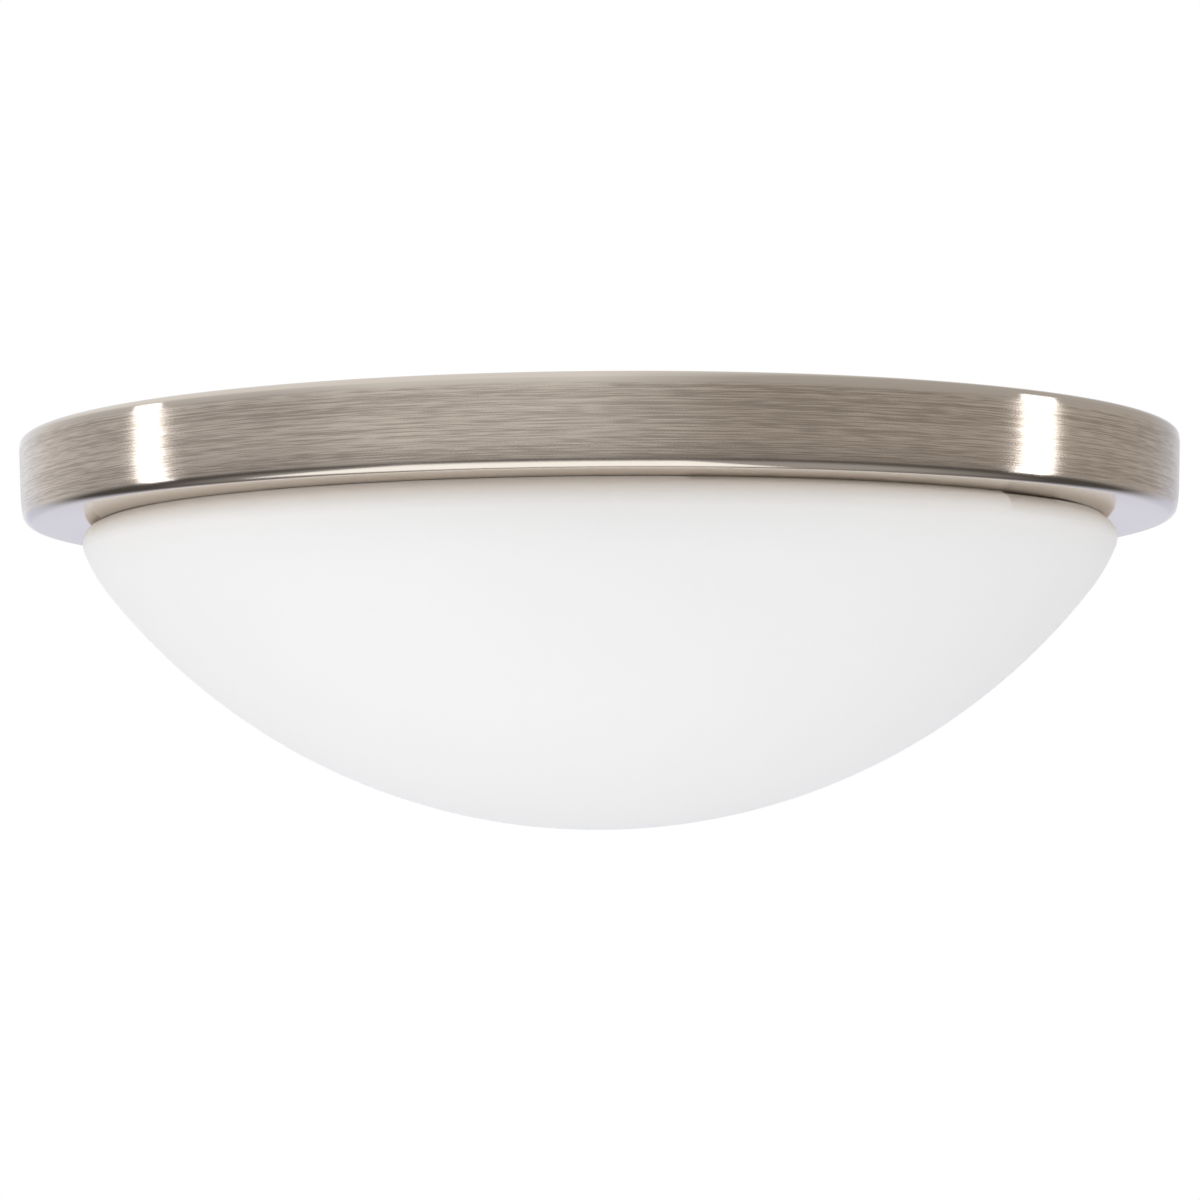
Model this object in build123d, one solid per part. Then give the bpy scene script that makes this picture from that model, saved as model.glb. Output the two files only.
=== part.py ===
from build123d import *
from math import atan2, cos, degrees, radians, sin, tan
import os

# Flush mount ceiling light, 13 inch class: a drawn metal ring with a rolled top edge, closed by a steel
# pan against the ceiling, and an opal glass bowl that is pushed up into the ring and turned to lock.
# Millimetres. The origin is the centre of the ceiling plane, +Z points up into the ceiling, and the
# light hangs down to -Z. -Y is the front.

# --- driving dimensions -----------------------------------------------------------------------------

# Drawn ring: flange against the ceiling, rolled edge, wall, bottom bend, flat underside, round opening
ring_diameter = 330.0      # where the lines of flange and wall meet, outside the rolled edge
ring_height = 23.6         # ceiling plane to underside
wall_draft = 0.8           # by how much the wall comes in from top to bottom, on the radius
ring_sheet = 0.8
top_roll_radius = 1.8
bottom_bend_radius = 2.85
opening_bend_radius = 1.2
top_flange_width = 8.0     # flange rolled inwards over the pan's rim
opening_diameter = 277.2   # the hole that the glass neck goes up into
opening_lip_height = 5.0   # lip turned up round the opening, from the underside
top_roll_chord_count = 3        # straight lines that stand for each bend in the section
bottom_bend_chord_count = 3
opening_bend_chord_count = 2

# Steel pan, pressed so that its middle hangs clear of the crossbar
pan_sheet = 0.7
pan_recess = 6.0           # ceiling plane to the pan's upper face, in its middle
pan_rim_width = 8.5
pan_slope_width = 6.5      # from the gasket seat up to the middle
pan_edge_gap = 0.4         # pan's rim to the rolled edge

# Crossbar on the outlet box, and its screws
bar_length = 150.0
bar_width = 19.0
bar_thickness = 2.0
box_slot_spacing = 79.4    # middle of the 69.9 to 88.9 mm range of outlet boxes
box_slot_length = 14.3
box_slot_width = 4.8
fixture_screw_spacing = 132.0
fixture_screw_diameter = 4.0
fixture_head_diameter = 8.2
fixture_head_height = 2.5
bar_centre_hole = 10.3     # clears a lamp pipe nipple
ground_screw_x = 20.0
ground_screw_diameter = 3.6
ground_head_width = 7.0    # across the flats of the hexagon
ground_head_height = 2.0
thread_gap = 0.06          # radial, screw body to its hole
keyhole_wide = 10.4
keyhole_narrow = 5.2

# Supply wire hole and its snap-in bushing
wire_hole_y = 30.0
bushing_bore = 18.0
bushing_wall = 1.8
bushing_flange_width = 2.4
bushing_flange_height = 1.0
bushing_length = 2.4
bushing_gap = 0.05

# Bayonet: clips on the opening's lip, lugs on the glass neck
lock_count = 3
lock_turn = 30.0           # degrees from pushed in to locked
clip_angle = -30.0         # where the first clip lies, from +X
clip_sheet = 1.0
clip_width_angle = 18.0
clip_leg_height = 3.6
clip_stop_height = 2.6     # end of the clip bent up, so that the lug stops against it
lug_width_angle = 16.0
lug_stop_angle = 0.15      # what is left between the locked lug and the stop
lug_height = 3.0
lug_reach = 3.6
lug_side_gap = 0.6         # lug to the opening's lip, and neck to the clip's edge
lug_seat_gap = 0.3         # lug's underside over the clip
lug_chamfer = 0.7

# Opal glass bowl: neck, ledge, small corner arc, shoulder arc and a shallow spherical bottom
glass_wall = 3.5
ledge_gap = 0.3            # ring's underside to the glass ledge
neck_root = 1.5            # bevel between neck and ledge
corner_radius = 5.3
corner_centre_radius = 141.75
shoulder_radius = 50.0
shoulder_start_angle = 22.8   # both angles are the outward normal's, below the horizontal
bowl_start_angle = 38.7
corner_chord_count = 5          # straight lines that stand for each arc of the section
shoulder_chord_count = 2
bowl_chord_count = 8
neck_rim_over_lug = 2.3

# Gasket that caps the neck's rim
gasket_base = 2.3
gasket_leg_height = 1.8
gasket_leg_width = 1.0
gasket_side_gap = 0.3
gasket_face_gap = 0.1      # rim to gasket, and gasket to the pan's seat
gasket_seat_margin = 2.0   # the pan's seat is wider than the gasket on both sides

# Gear tray under the pan, on hexagonal posts
tray_neck_gap = 10.9       # tray's rim to the inside of the glass neck
tray_sheet = 0.8
tray_rim_height = 7.0
post_count = 3
post_inset = 12.0          # post's middle from the tray's rim
post_width = 7.0           # across the flats
post_length = 19.5
thumb_screw_diameter = 4.0
thumb_screw_depth = 8.0
thumb_head_diameter = 11.0
thumb_head_height = 5.0
lead_hole_diameter = 12.0

# Light engine: round board, chips on circles, screws and a connector
board_head_gap = 4.5       # board's edge to the thumb screws' heads
board_thickness = 1.6
chip_size = 3.0
chip_height = 0.7
chip_circles = [(24, 0.88), (16, 0.57), (6, 0.27)]   # how many, on what share of the board's radius
board_screw_count = 3
board_screw_share = 0.725  # of the board's radius
board_screw_diameter = 3.0
board_head_diameter = 5.6
board_head_height = 1.7
connector_length = 14.0
connector_width = 9.0
connector_height = 3.6
connector_inset = 10.0     # sideways, from the driver's end
connector_y = 8.0
lead_hole_y = -12.0

# Driver: case screwed to the pan by two ears, board inside, lid below
driver_length = 100.0
driver_width = 42.0
driver_height = 15.0
driver_wall = 1.8
driver_lid_height = 2.0
driver_corner_radius = 3.0
lead_window_height = 3.0   # one window in the front wall for each pair of leads
driver_y = -54.0
driver_ear_length = 10.0
driver_ear_thickness = 2.5
driver_screw_diameter = 3.5
driver_head_diameter = 6.6
driver_head_height = 2.0
driver_board_thickness = 1.6
driver_board_gap = 0.5
driver_board_drop = 2.0    # case floor to board, on moulded ribs

# Terminal block on the pan: three poles
terminal_pitch = 10.0
terminal_poles = 3
terminal_depth = 20.0
terminal_height = 13.0
terminal_x = -46.0
terminal_y = 42.0
terminal_edge = 1.0
clamp_screw_diameter = 4.0
clamp_screw_height = 4.0
clamp_screw_sink = 1.0
clamp_well_gap = 0.2
wire_entry_diameter = 3.4
fixing_screw_diameter = 3.0
fixing_head_diameter = 5.0
fixing_head_height = 1.8

# Leads
lead_diameter = 2.0        # over the flats of the eight-sided section that stands for it
lead_side_count = 8
lead_gap = 0.2             # radial, in the holes that it enters
lead_entry_depth = 3.0
lead_pitch = 4.0           # between the two leads of a pair
lead_run = 12.0            # straight on from a terminal, before the first bend
ring_terminal_diameter = 8.0
ring_terminal_sheet = 0.8
ring_terminal_length = 11.0
crimp_diameter = 3.2
crimp_length = 5.0

# --- levels and radii that follow -------------------------------------------------------------------

ring_radius = ring_diameter / 2
wall_foot_radius = ring_radius - wall_draft
underside_z = -ring_height
opening_radius = opening_diameter / 2
lip_outer_radius = opening_radius + ring_sheet
lip_top_z = underside_z + opening_lip_height
clip_top_z = lip_top_z + clip_sheet
lug_radius = opening_radius - lug_side_gap
neck_radius = lug_radius - lug_reach
neck_inner_radius = neck_radius - glass_wall
clip_edge_radius = neck_radius + lug_side_gap
lug_bottom_z = clip_top_z + lug_seat_gap
lug_top_z = lug_bottom_z + lug_height
rim_z = lug_top_z + neck_rim_over_lug
ledge_z = underside_z - ledge_gap
gasket_low_z = rim_z + gasket_face_gap
gasket_top_z = gasket_low_z + gasket_base
seat_z = gasket_top_z + gasket_face_gap
gasket_outer_radius = neck_radius + gasket_side_gap + gasket_leg_width
gasket_inner_radius = neck_inner_radius - gasket_side_gap
seat_outer_radius = gasket_outer_radius + gasket_seat_margin
seat_inner_radius = gasket_inner_radius - gasket_seat_margin
pan_radius = ring_radius - top_roll_radius - pan_edge_gap
pan_top_z = -pan_recess
pan_under_z = pan_top_z - pan_sheet
tray_radius = neck_inner_radius - tray_neck_gap
post_circle_radius = tray_radius - post_inset
board_radius = post_circle_radius - thumb_head_diameter / 2 - board_head_gap
connector_x = driver_length / 2 - connector_inset
tray_top_z = pan_under_z - post_length
tray_under_z = tray_top_z - tray_sheet
board_under_z = tray_under_z - board_thickness
driver_under_z = pan_under_z - driver_height
driver_face_y = driver_y + driver_width / 2
terminal_length = terminal_pitch * terminal_poles + 2
terminal_under_z = pan_under_z - terminal_height
terminal_face_y = terminal_y - terminal_depth / 2
clamp_y = terminal_y - terminal_depth / 5
wire_z = pan_under_z - terminal_height / 2
bushing_radius = bushing_bore / 2 + bushing_wall
ground_head_z = -bar_thickness - ring_terminal_sheet
fixing_seat_z = terminal_under_z + fixing_head_height

# The glass profile is one chain of tangent arcs, so each centre follows from the arc before it.
shoulder_start = radians(shoulder_start_angle)
bowl_start = radians(bowl_start_angle)
corner_z = ledge_z - corner_radius
shoulder_centre_radius = corner_centre_radius + (corner_radius - shoulder_radius) * cos(shoulder_start)
shoulder_z = corner_z - (corner_radius - shoulder_radius) * sin(shoulder_start)
bowl_radius = shoulder_radius + shoulder_centre_radius / cos(bowl_start)
bowl_z = shoulder_z + (bowl_radius - shoulder_radius) * sin(bowl_start)


def polar(radius, angle):
    return radius * cos(radians(angle)), radius * sin(radians(angle))


def turned(section, angle=360.0, start=0.0):
    """The solid that a section, drawn as (radius, height), sweeps about the axis from start degrees on."""
    return Rot(0, 0, start) * revolve(Plane.XZ * section, Axis.Z, angle)


def outline(*points):
    """A section from its corner points (radius, height)."""
    return make_face(Polyline(*points, close=True))


def arc_points(centre, radius, start, turn, chords):
    """Points on an arc of a section, from start degrees on, with straight chords between them."""
    angles = [radians(start + turn * i / chords) for i in range(chords + 1)]
    return [(centre[0] + radius * cos(angle), centre[1] + radius * sin(angle)) for angle in angles]


def bar(x, y, low, high, diameter):
    """An upright round bar."""
    return Pos(x, y, (low + high) / 2) * Cylinder(diameter / 2, high - low)


def hexagon(x, y, low, high, width):
    """An upright hexagonal bar, width across its flats."""
    return Pos(x, y, low) * extrude(RegularPolygon(width / 2, 6, major_radius=False), high - low)


def block(x, y, low, high, length, width, corner=0.0):
    """An upright block with rounded upright edges."""
    flat = RectangleRounded(length, width, corner) if corner else Rectangle(length, width)
    return Pos(x, y, low) * extrude(flat, high - low)


def save(name, *solids):
    """One STEP file for a named piece; several solids in it stay separate."""
    shape = solids[0] if len(solids) == 1 else Compound(children=list(solids))
    shape.label = name
    export_step(shape, f"parts/{name}.step")


# --- ring and pan -----------------------------------------------------------------------------------


def bent(before, corner, after, radius, chords):
    """Points round one bend of sheet metal, on the arc that touches both lines of its corner."""
    corner = Vector(corner)
    back, on = (Vector(before) - corner).normalized(), (Vector(after) - corner).normalized()
    half = radians(back.get_angle(on)) / 2
    centre = corner + (back + on).normalized() * (radius / sin(half))
    side = corner + back * (radius / tan(half)) - centre
    turn = 180 - 2 * degrees(half)
    if side.cross(corner - centre).Z < 0:
        turn = -turn
    return arc_points((centre.X, centre.Y), radius, degrees(atan2(side.Y, side.X)), turn, chords)


def make_trim_ring():
    """Drawn sheet, flange to lip. Its outer skin has the three bends; inside, the sheet's corners."""
    flange_radius = ring_radius - top_flange_width
    start = flange_radius, 0
    top = ring_radius, 0
    foot = wall_foot_radius, underside_z
    edge = opening_radius, underside_z
    lip = opening_radius, lip_top_z
    skin = [
        start,
        *bent(start, top, foot, top_roll_radius, top_roll_chord_count),
        *bent(top, foot, edge, bottom_bend_radius, bottom_bend_chord_count),
        *bent(foot, edge, lip, opening_bend_radius, opening_bend_chord_count),
        lip,
    ]
    inside = [
        (lip_outer_radius, lip_top_z),
        (lip_outer_radius, underside_z + ring_sheet),
        (wall_foot_radius - bottom_bend_radius, underside_z + ring_sheet),
        (wall_foot_radius - ring_sheet, underside_z + bottom_bend_radius),
        (ring_radius - ring_sheet, -top_roll_radius),
        (ring_radius - top_roll_radius, -ring_sheet),
        (flange_radius, -ring_sheet),
    ]
    return turned(outline(*skin, *inside))


def make_back_pan():
    """Pressed disc: rim under the ring's flange, slope down to the gasket seat, step up to the middle,
    with the wire hole, two keyholes for the fixture screws and the holes of the small screws."""
    upper = [
        (0, pan_top_z),
        (seat_inner_radius - pan_slope_width, pan_top_z),
        (seat_inner_radius, seat_z + pan_sheet),
        (seat_outer_radius, seat_z + pan_sheet),
        (pan_radius - pan_rim_width, -ring_sheet),
        (pan_radius, -ring_sheet),
    ]
    lower = [(radius, z - pan_sheet) for radius, z in upper]
    pan = turned(outline(*upper, *reversed(lower)))
    pan -= hole(0, wire_hole_y, 2 * bushing_radius + 2 * bushing_gap)
    for side in (-1, 1):
        x = side * fixture_screw_spacing / 2
        wide_y = (keyhole_wide + keyhole_narrow) / 2
        pan -= hole(x, 0, keyhole_narrow) + hole(x, side * wide_y, keyhole_wide)
        pan -= Pos(x, side * wide_y / 2, pan_top_z) * Box(keyhole_narrow, wide_y, 4 * pan_sheet)
        pan -= hole(*ear_place(side), driver_screw_diameter + 2 * thread_gap)
    return pan - hole(*fixing_place(), fixing_screw_diameter + 2 * thread_gap)


def hole(x, y, diameter):
    """A drill through everything that lies on the middle of the pan."""
    return bar(x, y, 2 * tray_under_z, -2 * tray_under_z, diameter)


# --- crossbar, fixture screws, ground ---------------------------------------------------------------


def make_crossbar():
    """Flat strap with round ends, two slots for the outlet box, a hole for a lamp pipe, tapped holes."""
    strap = extrude(SlotOverall(bar_length, bar_width), -bar_thickness)
    strap -= bar(0, 0, -bar_thickness, 0, bar_centre_hole)
    strap -= bar(ground_screw_x, 0, -bar_thickness, 0, ground_screw_diameter + 2 * thread_gap)
    for side in (-1, 1):
        slot = SlotOverall(box_slot_length, box_slot_width)
        strap -= Pos(side * box_slot_spacing / 2, 0, 0) * extrude(slot, -bar_thickness)
        x = side * fixture_screw_spacing / 2
        strap -= bar(x, 0, -bar_thickness, 0, fixture_screw_diameter + 2 * thread_gap)
    return strap


def screw(x, y, seat, tip, diameter, head_diameter, head_height):
    """Round headed screw: its head lies on seat, on the side away from tip."""
    head = seat + head_height if seat > tip else seat - head_height
    return bar(x, y, min(seat, tip), max(seat, tip), diameter) + bar(
        x, y, min(seat, head), max(seat, head), head_diameter
    )


def make_fixture_screws():
    """Hold the pan up against the crossbar: heads under the pan, bodies in the tapped holes."""
    return [
        screw(side * fixture_screw_spacing / 2, 0, pan_under_z, 0, fixture_screw_diameter,
              fixture_head_diameter, fixture_head_height)
        for side in (-1, 1)
    ]


def make_ground_screw():
    """Hexagonal head that clamps the ring terminal to the crossbar."""
    body = bar(ground_screw_x, 0, ground_head_z, 0, ground_screw_diameter)
    head = hexagon(ground_screw_x, 0, ground_head_z - ground_head_height, ground_head_z, ground_head_width)
    return body + head


def make_ring_terminal():
    """Stamped ring and tongue with a crimped barrel for the ground lead."""
    flat = Circle(ring_terminal_diameter / 2)
    flat += Pos(0, ring_terminal_length / 2) * Rectangle(crimp_diameter, ring_terminal_length)
    flat -= Circle(ground_screw_diameter / 2 + thread_gap)
    ring = Pos(ground_screw_x, 0, -bar_thickness) * extrude(flat, -ring_terminal_sheet)
    barrel = Cylinder(crimp_diameter / 2, crimp_length) - Cylinder(lead_diameter / 2 + lead_gap, crimp_length)
    return ring + Pos(*crimp_place()) * Rot(90, 0, 0) * barrel - bar(
        ground_screw_x, 0, ground_head_z - ground_head_height, ground_head_z, ring_terminal_diameter
    )


def crimp_place():
    """Middle of the barrel, under the terminal's tongue."""
    y = ring_terminal_length - crimp_length / 2
    return ground_screw_x, y, ground_head_z - crimp_diameter / 2 + ring_terminal_sheet / 2


def make_wire_bushing():
    """Round grommet pushed up through the pan's wire hole, its flange under the sheet."""
    bore = bushing_bore / 2
    flange = bushing_radius + bushing_flange_width
    seat = pan_under_z - bushing_gap
    top = seat - bushing_flange_height + bushing_length
    section = outline(
        (bore, top),
        (bushing_radius, top),
        (bushing_radius, seat),
        (flange, seat),
        (flange, seat - bushing_flange_height),
        (bore, seat - bushing_flange_height),
    )
    return Pos(0, wire_hole_y, 0) * turned(section)


# --- terminal block ---------------------------------------------------------------------------------


def pole_places():
    """The middle of each pole, in x."""
    first = terminal_x - terminal_pitch * (terminal_poles - 1) / 2
    return [first + terminal_pitch * i for i in range(terminal_poles)]


def fixing_place():
    """The block's own screw stands between its last two poles."""
    return pole_places()[-1] - terminal_pitch / 2, terminal_y


def make_terminal_block():
    """Moulded block: one wire channel through each pole, and a well for its clamp screw."""
    body = block(terminal_x, terminal_y, terminal_under_z, pan_under_z, terminal_length, terminal_depth,
                 terminal_edge)
    for x in pole_places():
        body -= Pos(x, terminal_y, wire_z) * Rot(90, 0, 0) * Cylinder(wire_entry_diameter / 2, terminal_depth)
        body -= bar(x, clamp_y, terminal_under_z, wire_z, clamp_screw_diameter + 2 * clamp_well_gap)
    x, y = fixing_place()
    body -= bar(x, y, terminal_under_z, pan_under_z, fixing_screw_diameter + 2 * thread_gap)
    return body - bar(x, y, terminal_under_z, fixing_seat_z, fixing_head_diameter + 2 * clamp_well_gap)


def make_clamp_screws():
    """Short slotted screws, sunk in their wells, their tips above the wires."""
    low = terminal_under_z + clamp_screw_sink
    screws = []
    for x in pole_places():
        slot = Pos(x, clamp_y, low) * Box(clamp_screw_diameter, clamp_screw_diameter / 5, clamp_screw_height / 3)
        screws.append(bar(x, clamp_y, low, low + clamp_screw_height, clamp_screw_diameter) - slot)
    return screws


def make_fixing_screw():
    """Holds the terminal block up against the pan."""
    return screw(*fixing_place(), fixing_seat_z, pan_top_z, fixing_screw_diameter, fixing_head_diameter,
                 fixing_head_height)


# --- driver -----------------------------------------------------------------------------------------


def ear_place(side):
    return side * (driver_length + driver_ear_length) / 2, driver_y


def make_driver_case():
    """Moulded box, open below, with an ear at each end and two windows for the leads in its front wall."""
    inner_length, inner_width = driver_length - 2 * driver_wall, driver_width - 2 * driver_wall
    low = driver_under_z + driver_lid_height
    case = block(0, driver_y, low, pan_under_z, driver_length, driver_width, driver_corner_radius)
    for side in (-1, 1):
        x, y = ear_place(side)
        ear = block(x - side * driver_ear_length / 2, y, pan_under_z - driver_ear_thickness, pan_under_z,
                    2 * driver_ear_length, 2 * driver_ear_length, driver_corner_radius)
        case += ear
    case -= block(0, driver_y, low, pan_under_z - driver_wall, inner_length, inner_width)
    for side in (-1, 1):
        x, y = ear_place(side)
        case -= bar(x, y, pan_under_z - driver_ear_thickness, pan_under_z,
                    driver_screw_diameter + 2 * thread_gap)
    window_width = lead_pitch + lead_window_height
    for left, right in (mains_entries(), led_entries()):
        window = Box(window_width, 2 * driver_wall, lead_window_height)
        case -= Pos((left + right) / 2, driver_face_y, wire_z) * window
    return case


def make_driver_lid():
    """Plate that closes the case, with a step that snaps inside its walls."""
    step_length = driver_length - 2 * driver_wall - 2 * lead_gap
    step_width = driver_width - 2 * driver_wall - 2 * lead_gap
    top = driver_under_z + driver_lid_height
    lid = block(0, driver_y, driver_under_z, top, driver_length, driver_width, driver_corner_radius)
    return lid + block(0, driver_y, top, top + driver_lid_height / 2, step_length, step_width)


def make_driver_board():
    """Circuit board on the floor ribs of the case, with its transformer, capacitor and coil."""
    top = pan_under_z - driver_wall - driver_board_drop
    low = top - driver_board_thickness
    length = driver_length - 2 * driver_wall - 2 * driver_board_gap
    width = driver_width - 2 * driver_wall - 2 * driver_board_gap
    part_height = low - (driver_under_z + 1.5 * driver_lid_height) - driver_board_gap
    board = block(0, driver_y, low, top, length, width)
    board += block(length / 12, driver_y, low - part_height, low, length / 6, width / 2)
    board += bar(-length / 5, driver_y, low - part_height, low, width / 3)
    board += block(length / 3, driver_y, low - part_height * 0.8, low, length / 8, width / 4)
    for x in (-length / 2 + driver_wall, length / 2 - driver_wall):
        board += block(x, driver_y, top, pan_under_z - driver_wall, driver_wall, width / 4)
    return board


def make_driver_screws():
    seat = pan_under_z - driver_ear_thickness
    return [
        screw(*ear_place(side), seat, pan_top_z, driver_screw_diameter, driver_head_diameter,
              driver_head_height)
        for side in (-1, 1)
    ]


# --- gear tray and light engine ---------------------------------------------------------------------


def post_places():
    return [polar(post_circle_radius, 90 + 360 / post_count * i) for i in range(post_count)]


def make_gear_tray():
    """White pressed disc with an upturned rim. It covers the wiring and spreads the board's heat."""
    rim_z_top = tray_under_z + tray_rim_height
    bevel = 2 * tray_sheet
    tray = turned(
        outline(
            (0, tray_top_z),
            (tray_radius - bevel, tray_top_z),
            (tray_radius - tray_sheet, tray_top_z + bevel - tray_sheet),
            (tray_radius - tray_sheet, rim_z_top),
            (tray_radius, rim_z_top),
            (tray_radius, tray_under_z + bevel),
            (tray_radius - bevel, tray_under_z),
            (0, tray_under_z),
        )
    )
    tray -= bar(connector_x, lead_hole_y, tray_under_z, tray_top_z, lead_hole_diameter)
    for x, y in post_places():
        tray -= bar(x, y, tray_under_z, tray_top_z, thumb_screw_diameter + 2 * thread_gap)
    for x, y in board_screw_places():
        tray -= bar(x, y, tray_under_z, tray_top_z, board_screw_diameter + 2 * thread_gap)
    return tray


def make_tray_posts():
    """Hexagonal posts, swaged to the pan and tapped from below."""
    posts = []
    for x, y in post_places():
        post = hexagon(x, y, tray_top_z, pan_under_z, post_width)
        tapped_z = tray_top_z + thumb_screw_depth + thread_gap
        posts.append(post - bar(x, y, tray_top_z, tapped_z, thumb_screw_diameter + 2 * thread_gap))
    return posts


def make_thumb_screws():
    """From below through the tray into the posts; undone by hand to take the tray down."""
    return [
        screw(x, y, tray_under_z, tray_top_z + thumb_screw_depth, thumb_screw_diameter, thumb_head_diameter,
              thumb_head_height)
        for x, y in post_places()
    ]


def board_screw_places():
    step = 360 / board_screw_count
    circle = board_screw_share * board_radius
    return [polar(circle, step * (i + 0.5)) for i in range(board_screw_count)]


def make_led_board():
    """Round aluminium board against the tray."""
    board = bar(0, 0, board_under_z, tray_under_z, 2 * board_radius)
    board -= bar(connector_x, lead_hole_y, board_under_z, tray_under_z, lead_hole_diameter)
    for x, y in board_screw_places():
        board -= bar(x, y, board_under_z, tray_under_z, board_screw_diameter + 2 * thread_gap)
    return board


def make_led_chips():
    """Square chips on circles, each turned to face the middle."""
    chips = []
    for count, share in chip_circles:
        for i in range(count):
            chip = Box(chip_size, chip_size, chip_height)
            place = Pos(share * board_radius, 0, board_under_z - chip_height / 2)
            chips.append(Rot(0, 0, 360 / count * i) * place * chip)
    return chips


def make_board_screws():
    return [
        screw(x, y, board_under_z, tray_top_z, board_screw_diameter, board_head_diameter, board_head_height)
        for x, y in board_screw_places()
    ]


def make_board_connector():
    """Two-pole connector on the board, the leads go in at its back end."""
    low = board_under_z - connector_height
    body = block(connector_x, connector_y, low, board_under_z, connector_width, connector_length)
    socket = lead_diameter + 2 * lead_gap
    for x in pair(connector_x):
        place = Pos(x, connector_y - connector_length / 2, board_under_z - connector_height / 2)
        body -= place * Box(socket, 2 * lead_entry_depth + 2 * lead_gap, socket)
    return body


# --- leads ------------------------------------------------------------------------------------------


def pair(x):
    return x - lead_pitch / 2, x + lead_pitch / 2


def mains_entries():
    return pair(driver_corner_radius + lead_pitch - driver_length / 2)


def led_entries():
    return pair(connector_x)


def lead(*points):
    """Insulated lead along its points, each bend as wide as the runs beside it allow."""
    route = [Vector(point) for point in points]
    radii = []
    for before, here, after in zip(route, route[1:], route[2:]):
        turn = (here - before).get_angle(after - here)
        shorter = min((here - before).length, (after - here).length)
        radii.append(0.45 * shorter / tan(radians(turn) / 2))
    path = FilletPolyline(*route, radius=radii)
    section = RegularPolygon(lead_diameter / 2, lead_side_count, major_radius=False)
    return sweep(Plane(path @ 0, z_dir=path % 0) * section, path=path)


def make_mains_lead(pole, entry, bow):
    """From one pole of the terminal block to the driver, in a loose bow."""
    start, end = pole_places()[pole], mains_entries()[entry]
    span = terminal_face_y - driver_face_y
    return lead(
        (start, terminal_face_y + lead_entry_depth, wire_z),
        (start, terminal_face_y - 0.25 * span, wire_z),
        (end + bow, terminal_face_y - 0.7 * span, wire_z - abs(bow) / 4),
        (end, driver_face_y + 0.1 * span, wire_z),
        (end, driver_face_y - lead_entry_depth, wire_z),
    )


def make_ground_lead():
    """From the last pole, up through the bushing, along the crossbar's underside to the ring terminal."""
    x, y, z = crimp_place()
    start = pole_places()[-1]
    return lead(
        (start, terminal_face_y + lead_entry_depth, wire_z),
        (start, terminal_face_y - lead_run, wire_z),
        (-bushing_bore / 2, wire_hole_y - 8, wire_z - 1),
        (-bushing_bore / 3, wire_hole_y, z),
        (x, y + lead_run, z),
        (x, y, z),
    )


def make_led_lead(side):
    """From the driver, down through the tray and the board, and back to the connector's end."""
    x = pair(connector_x)[side]
    connector_z = board_under_z - connector_height / 2
    end_y = connector_y - connector_length / 2
    return lead(
        (x, driver_face_y - lead_entry_depth, wire_z),
        (x, driver_face_y + 0.75 * lead_run, wire_z),
        (x, lead_hole_y, tray_top_z),
        (x, lead_hole_y + 2, connector_z),
        (x, end_y + lead_entry_depth, connector_z),
    )


# --- bayonet, glass, gasket -------------------------------------------------------------------------


def lock_angles(first):
    return [first + 360 / lock_count * i for i in range(lock_count)]


def make_glass_clips():
    """Stamped angles on the opening's lip: a leg welded behind it, a ledge for the lug, a bent-up stop."""
    leg = outline(
        (clip_edge_radius, lip_top_z),
        (lip_outer_radius, lip_top_z),
        (lip_outer_radius, clip_top_z - clip_leg_height),
        (lip_outer_radius + clip_sheet, clip_top_z - clip_leg_height),
        (lip_outer_radius + clip_sheet, clip_top_z),
        (clip_edge_radius, clip_top_z),
    )
    stop = outline(
        (clip_edge_radius, clip_top_z),
        (lip_outer_radius, clip_top_z),
        (lip_outer_radius, clip_top_z + clip_stop_height),
        (clip_edge_radius, clip_top_z + clip_stop_height),
    )
    stop_angle = lug_width_angle / 2 + lug_stop_angle
    stop_width = degrees_of(clip_sheet, opening_radius)
    clips = []
    for angle in lock_angles(clip_angle):
        ledge = turned(leg, clip_width_angle / 2 + stop_angle + stop_width, angle - clip_width_angle / 2)
        clips.append(ledge + turned(stop, stop_width, angle + stop_angle))
    return clips


def degrees_of(length, radius):
    """The angle that a short length spans on a circle."""
    return degrees(length / radius)


def glass_skin(inset, coarser=1):
    """One side of the glass in section, from the neck's rim to the middle of the bowl."""
    neck, ledge = neck_radius - inset, ledge_z - inset
    start, turn = shoulder_start_angle, bowl_start_angle - shoulder_start_angle
    corner = arc_points((corner_centre_radius, corner_z), corner_radius - inset, 90, -90 - start,
                        corner_chord_count // coarser)
    shoulder = arc_points((shoulder_centre_radius, shoulder_z), shoulder_radius - inset, -start, -turn,
                          shoulder_chord_count // coarser)
    bowl = arc_points((0, bowl_z), bowl_radius - inset, -bowl_start_angle, bowl_start_angle - 90,
                      bowl_chord_count // coarser)
    return [(neck, rim_z), (neck, ledge + neck_root), (neck + neck_root, ledge), *corner, *shoulder[1:],
            *bowl[1:]]


def make_glass_dome():
    """Blown opal glass: neck with three lugs, ledge, corner, shoulder and bowl of even thickness."""
    dome = turned(outline(*glass_skin(0), *reversed(glass_skin(glass_wall, coarser=2))))
    lug = outline(
        (neck_radius - glass_wall / 2, lug_bottom_z),
        (lug_radius - lug_chamfer, lug_bottom_z),
        (lug_radius, lug_bottom_z + lug_chamfer),
        (lug_radius, lug_top_z - lug_chamfer),
        (lug_radius - lug_chamfer, lug_top_z),
        (neck_radius - glass_wall / 2, lug_top_z),
    )
    for angle in lock_angles(clip_angle - lock_turn):
        dome += turned(lug, lug_width_angle, angle - lug_width_angle / 2)
    return dome


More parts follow.
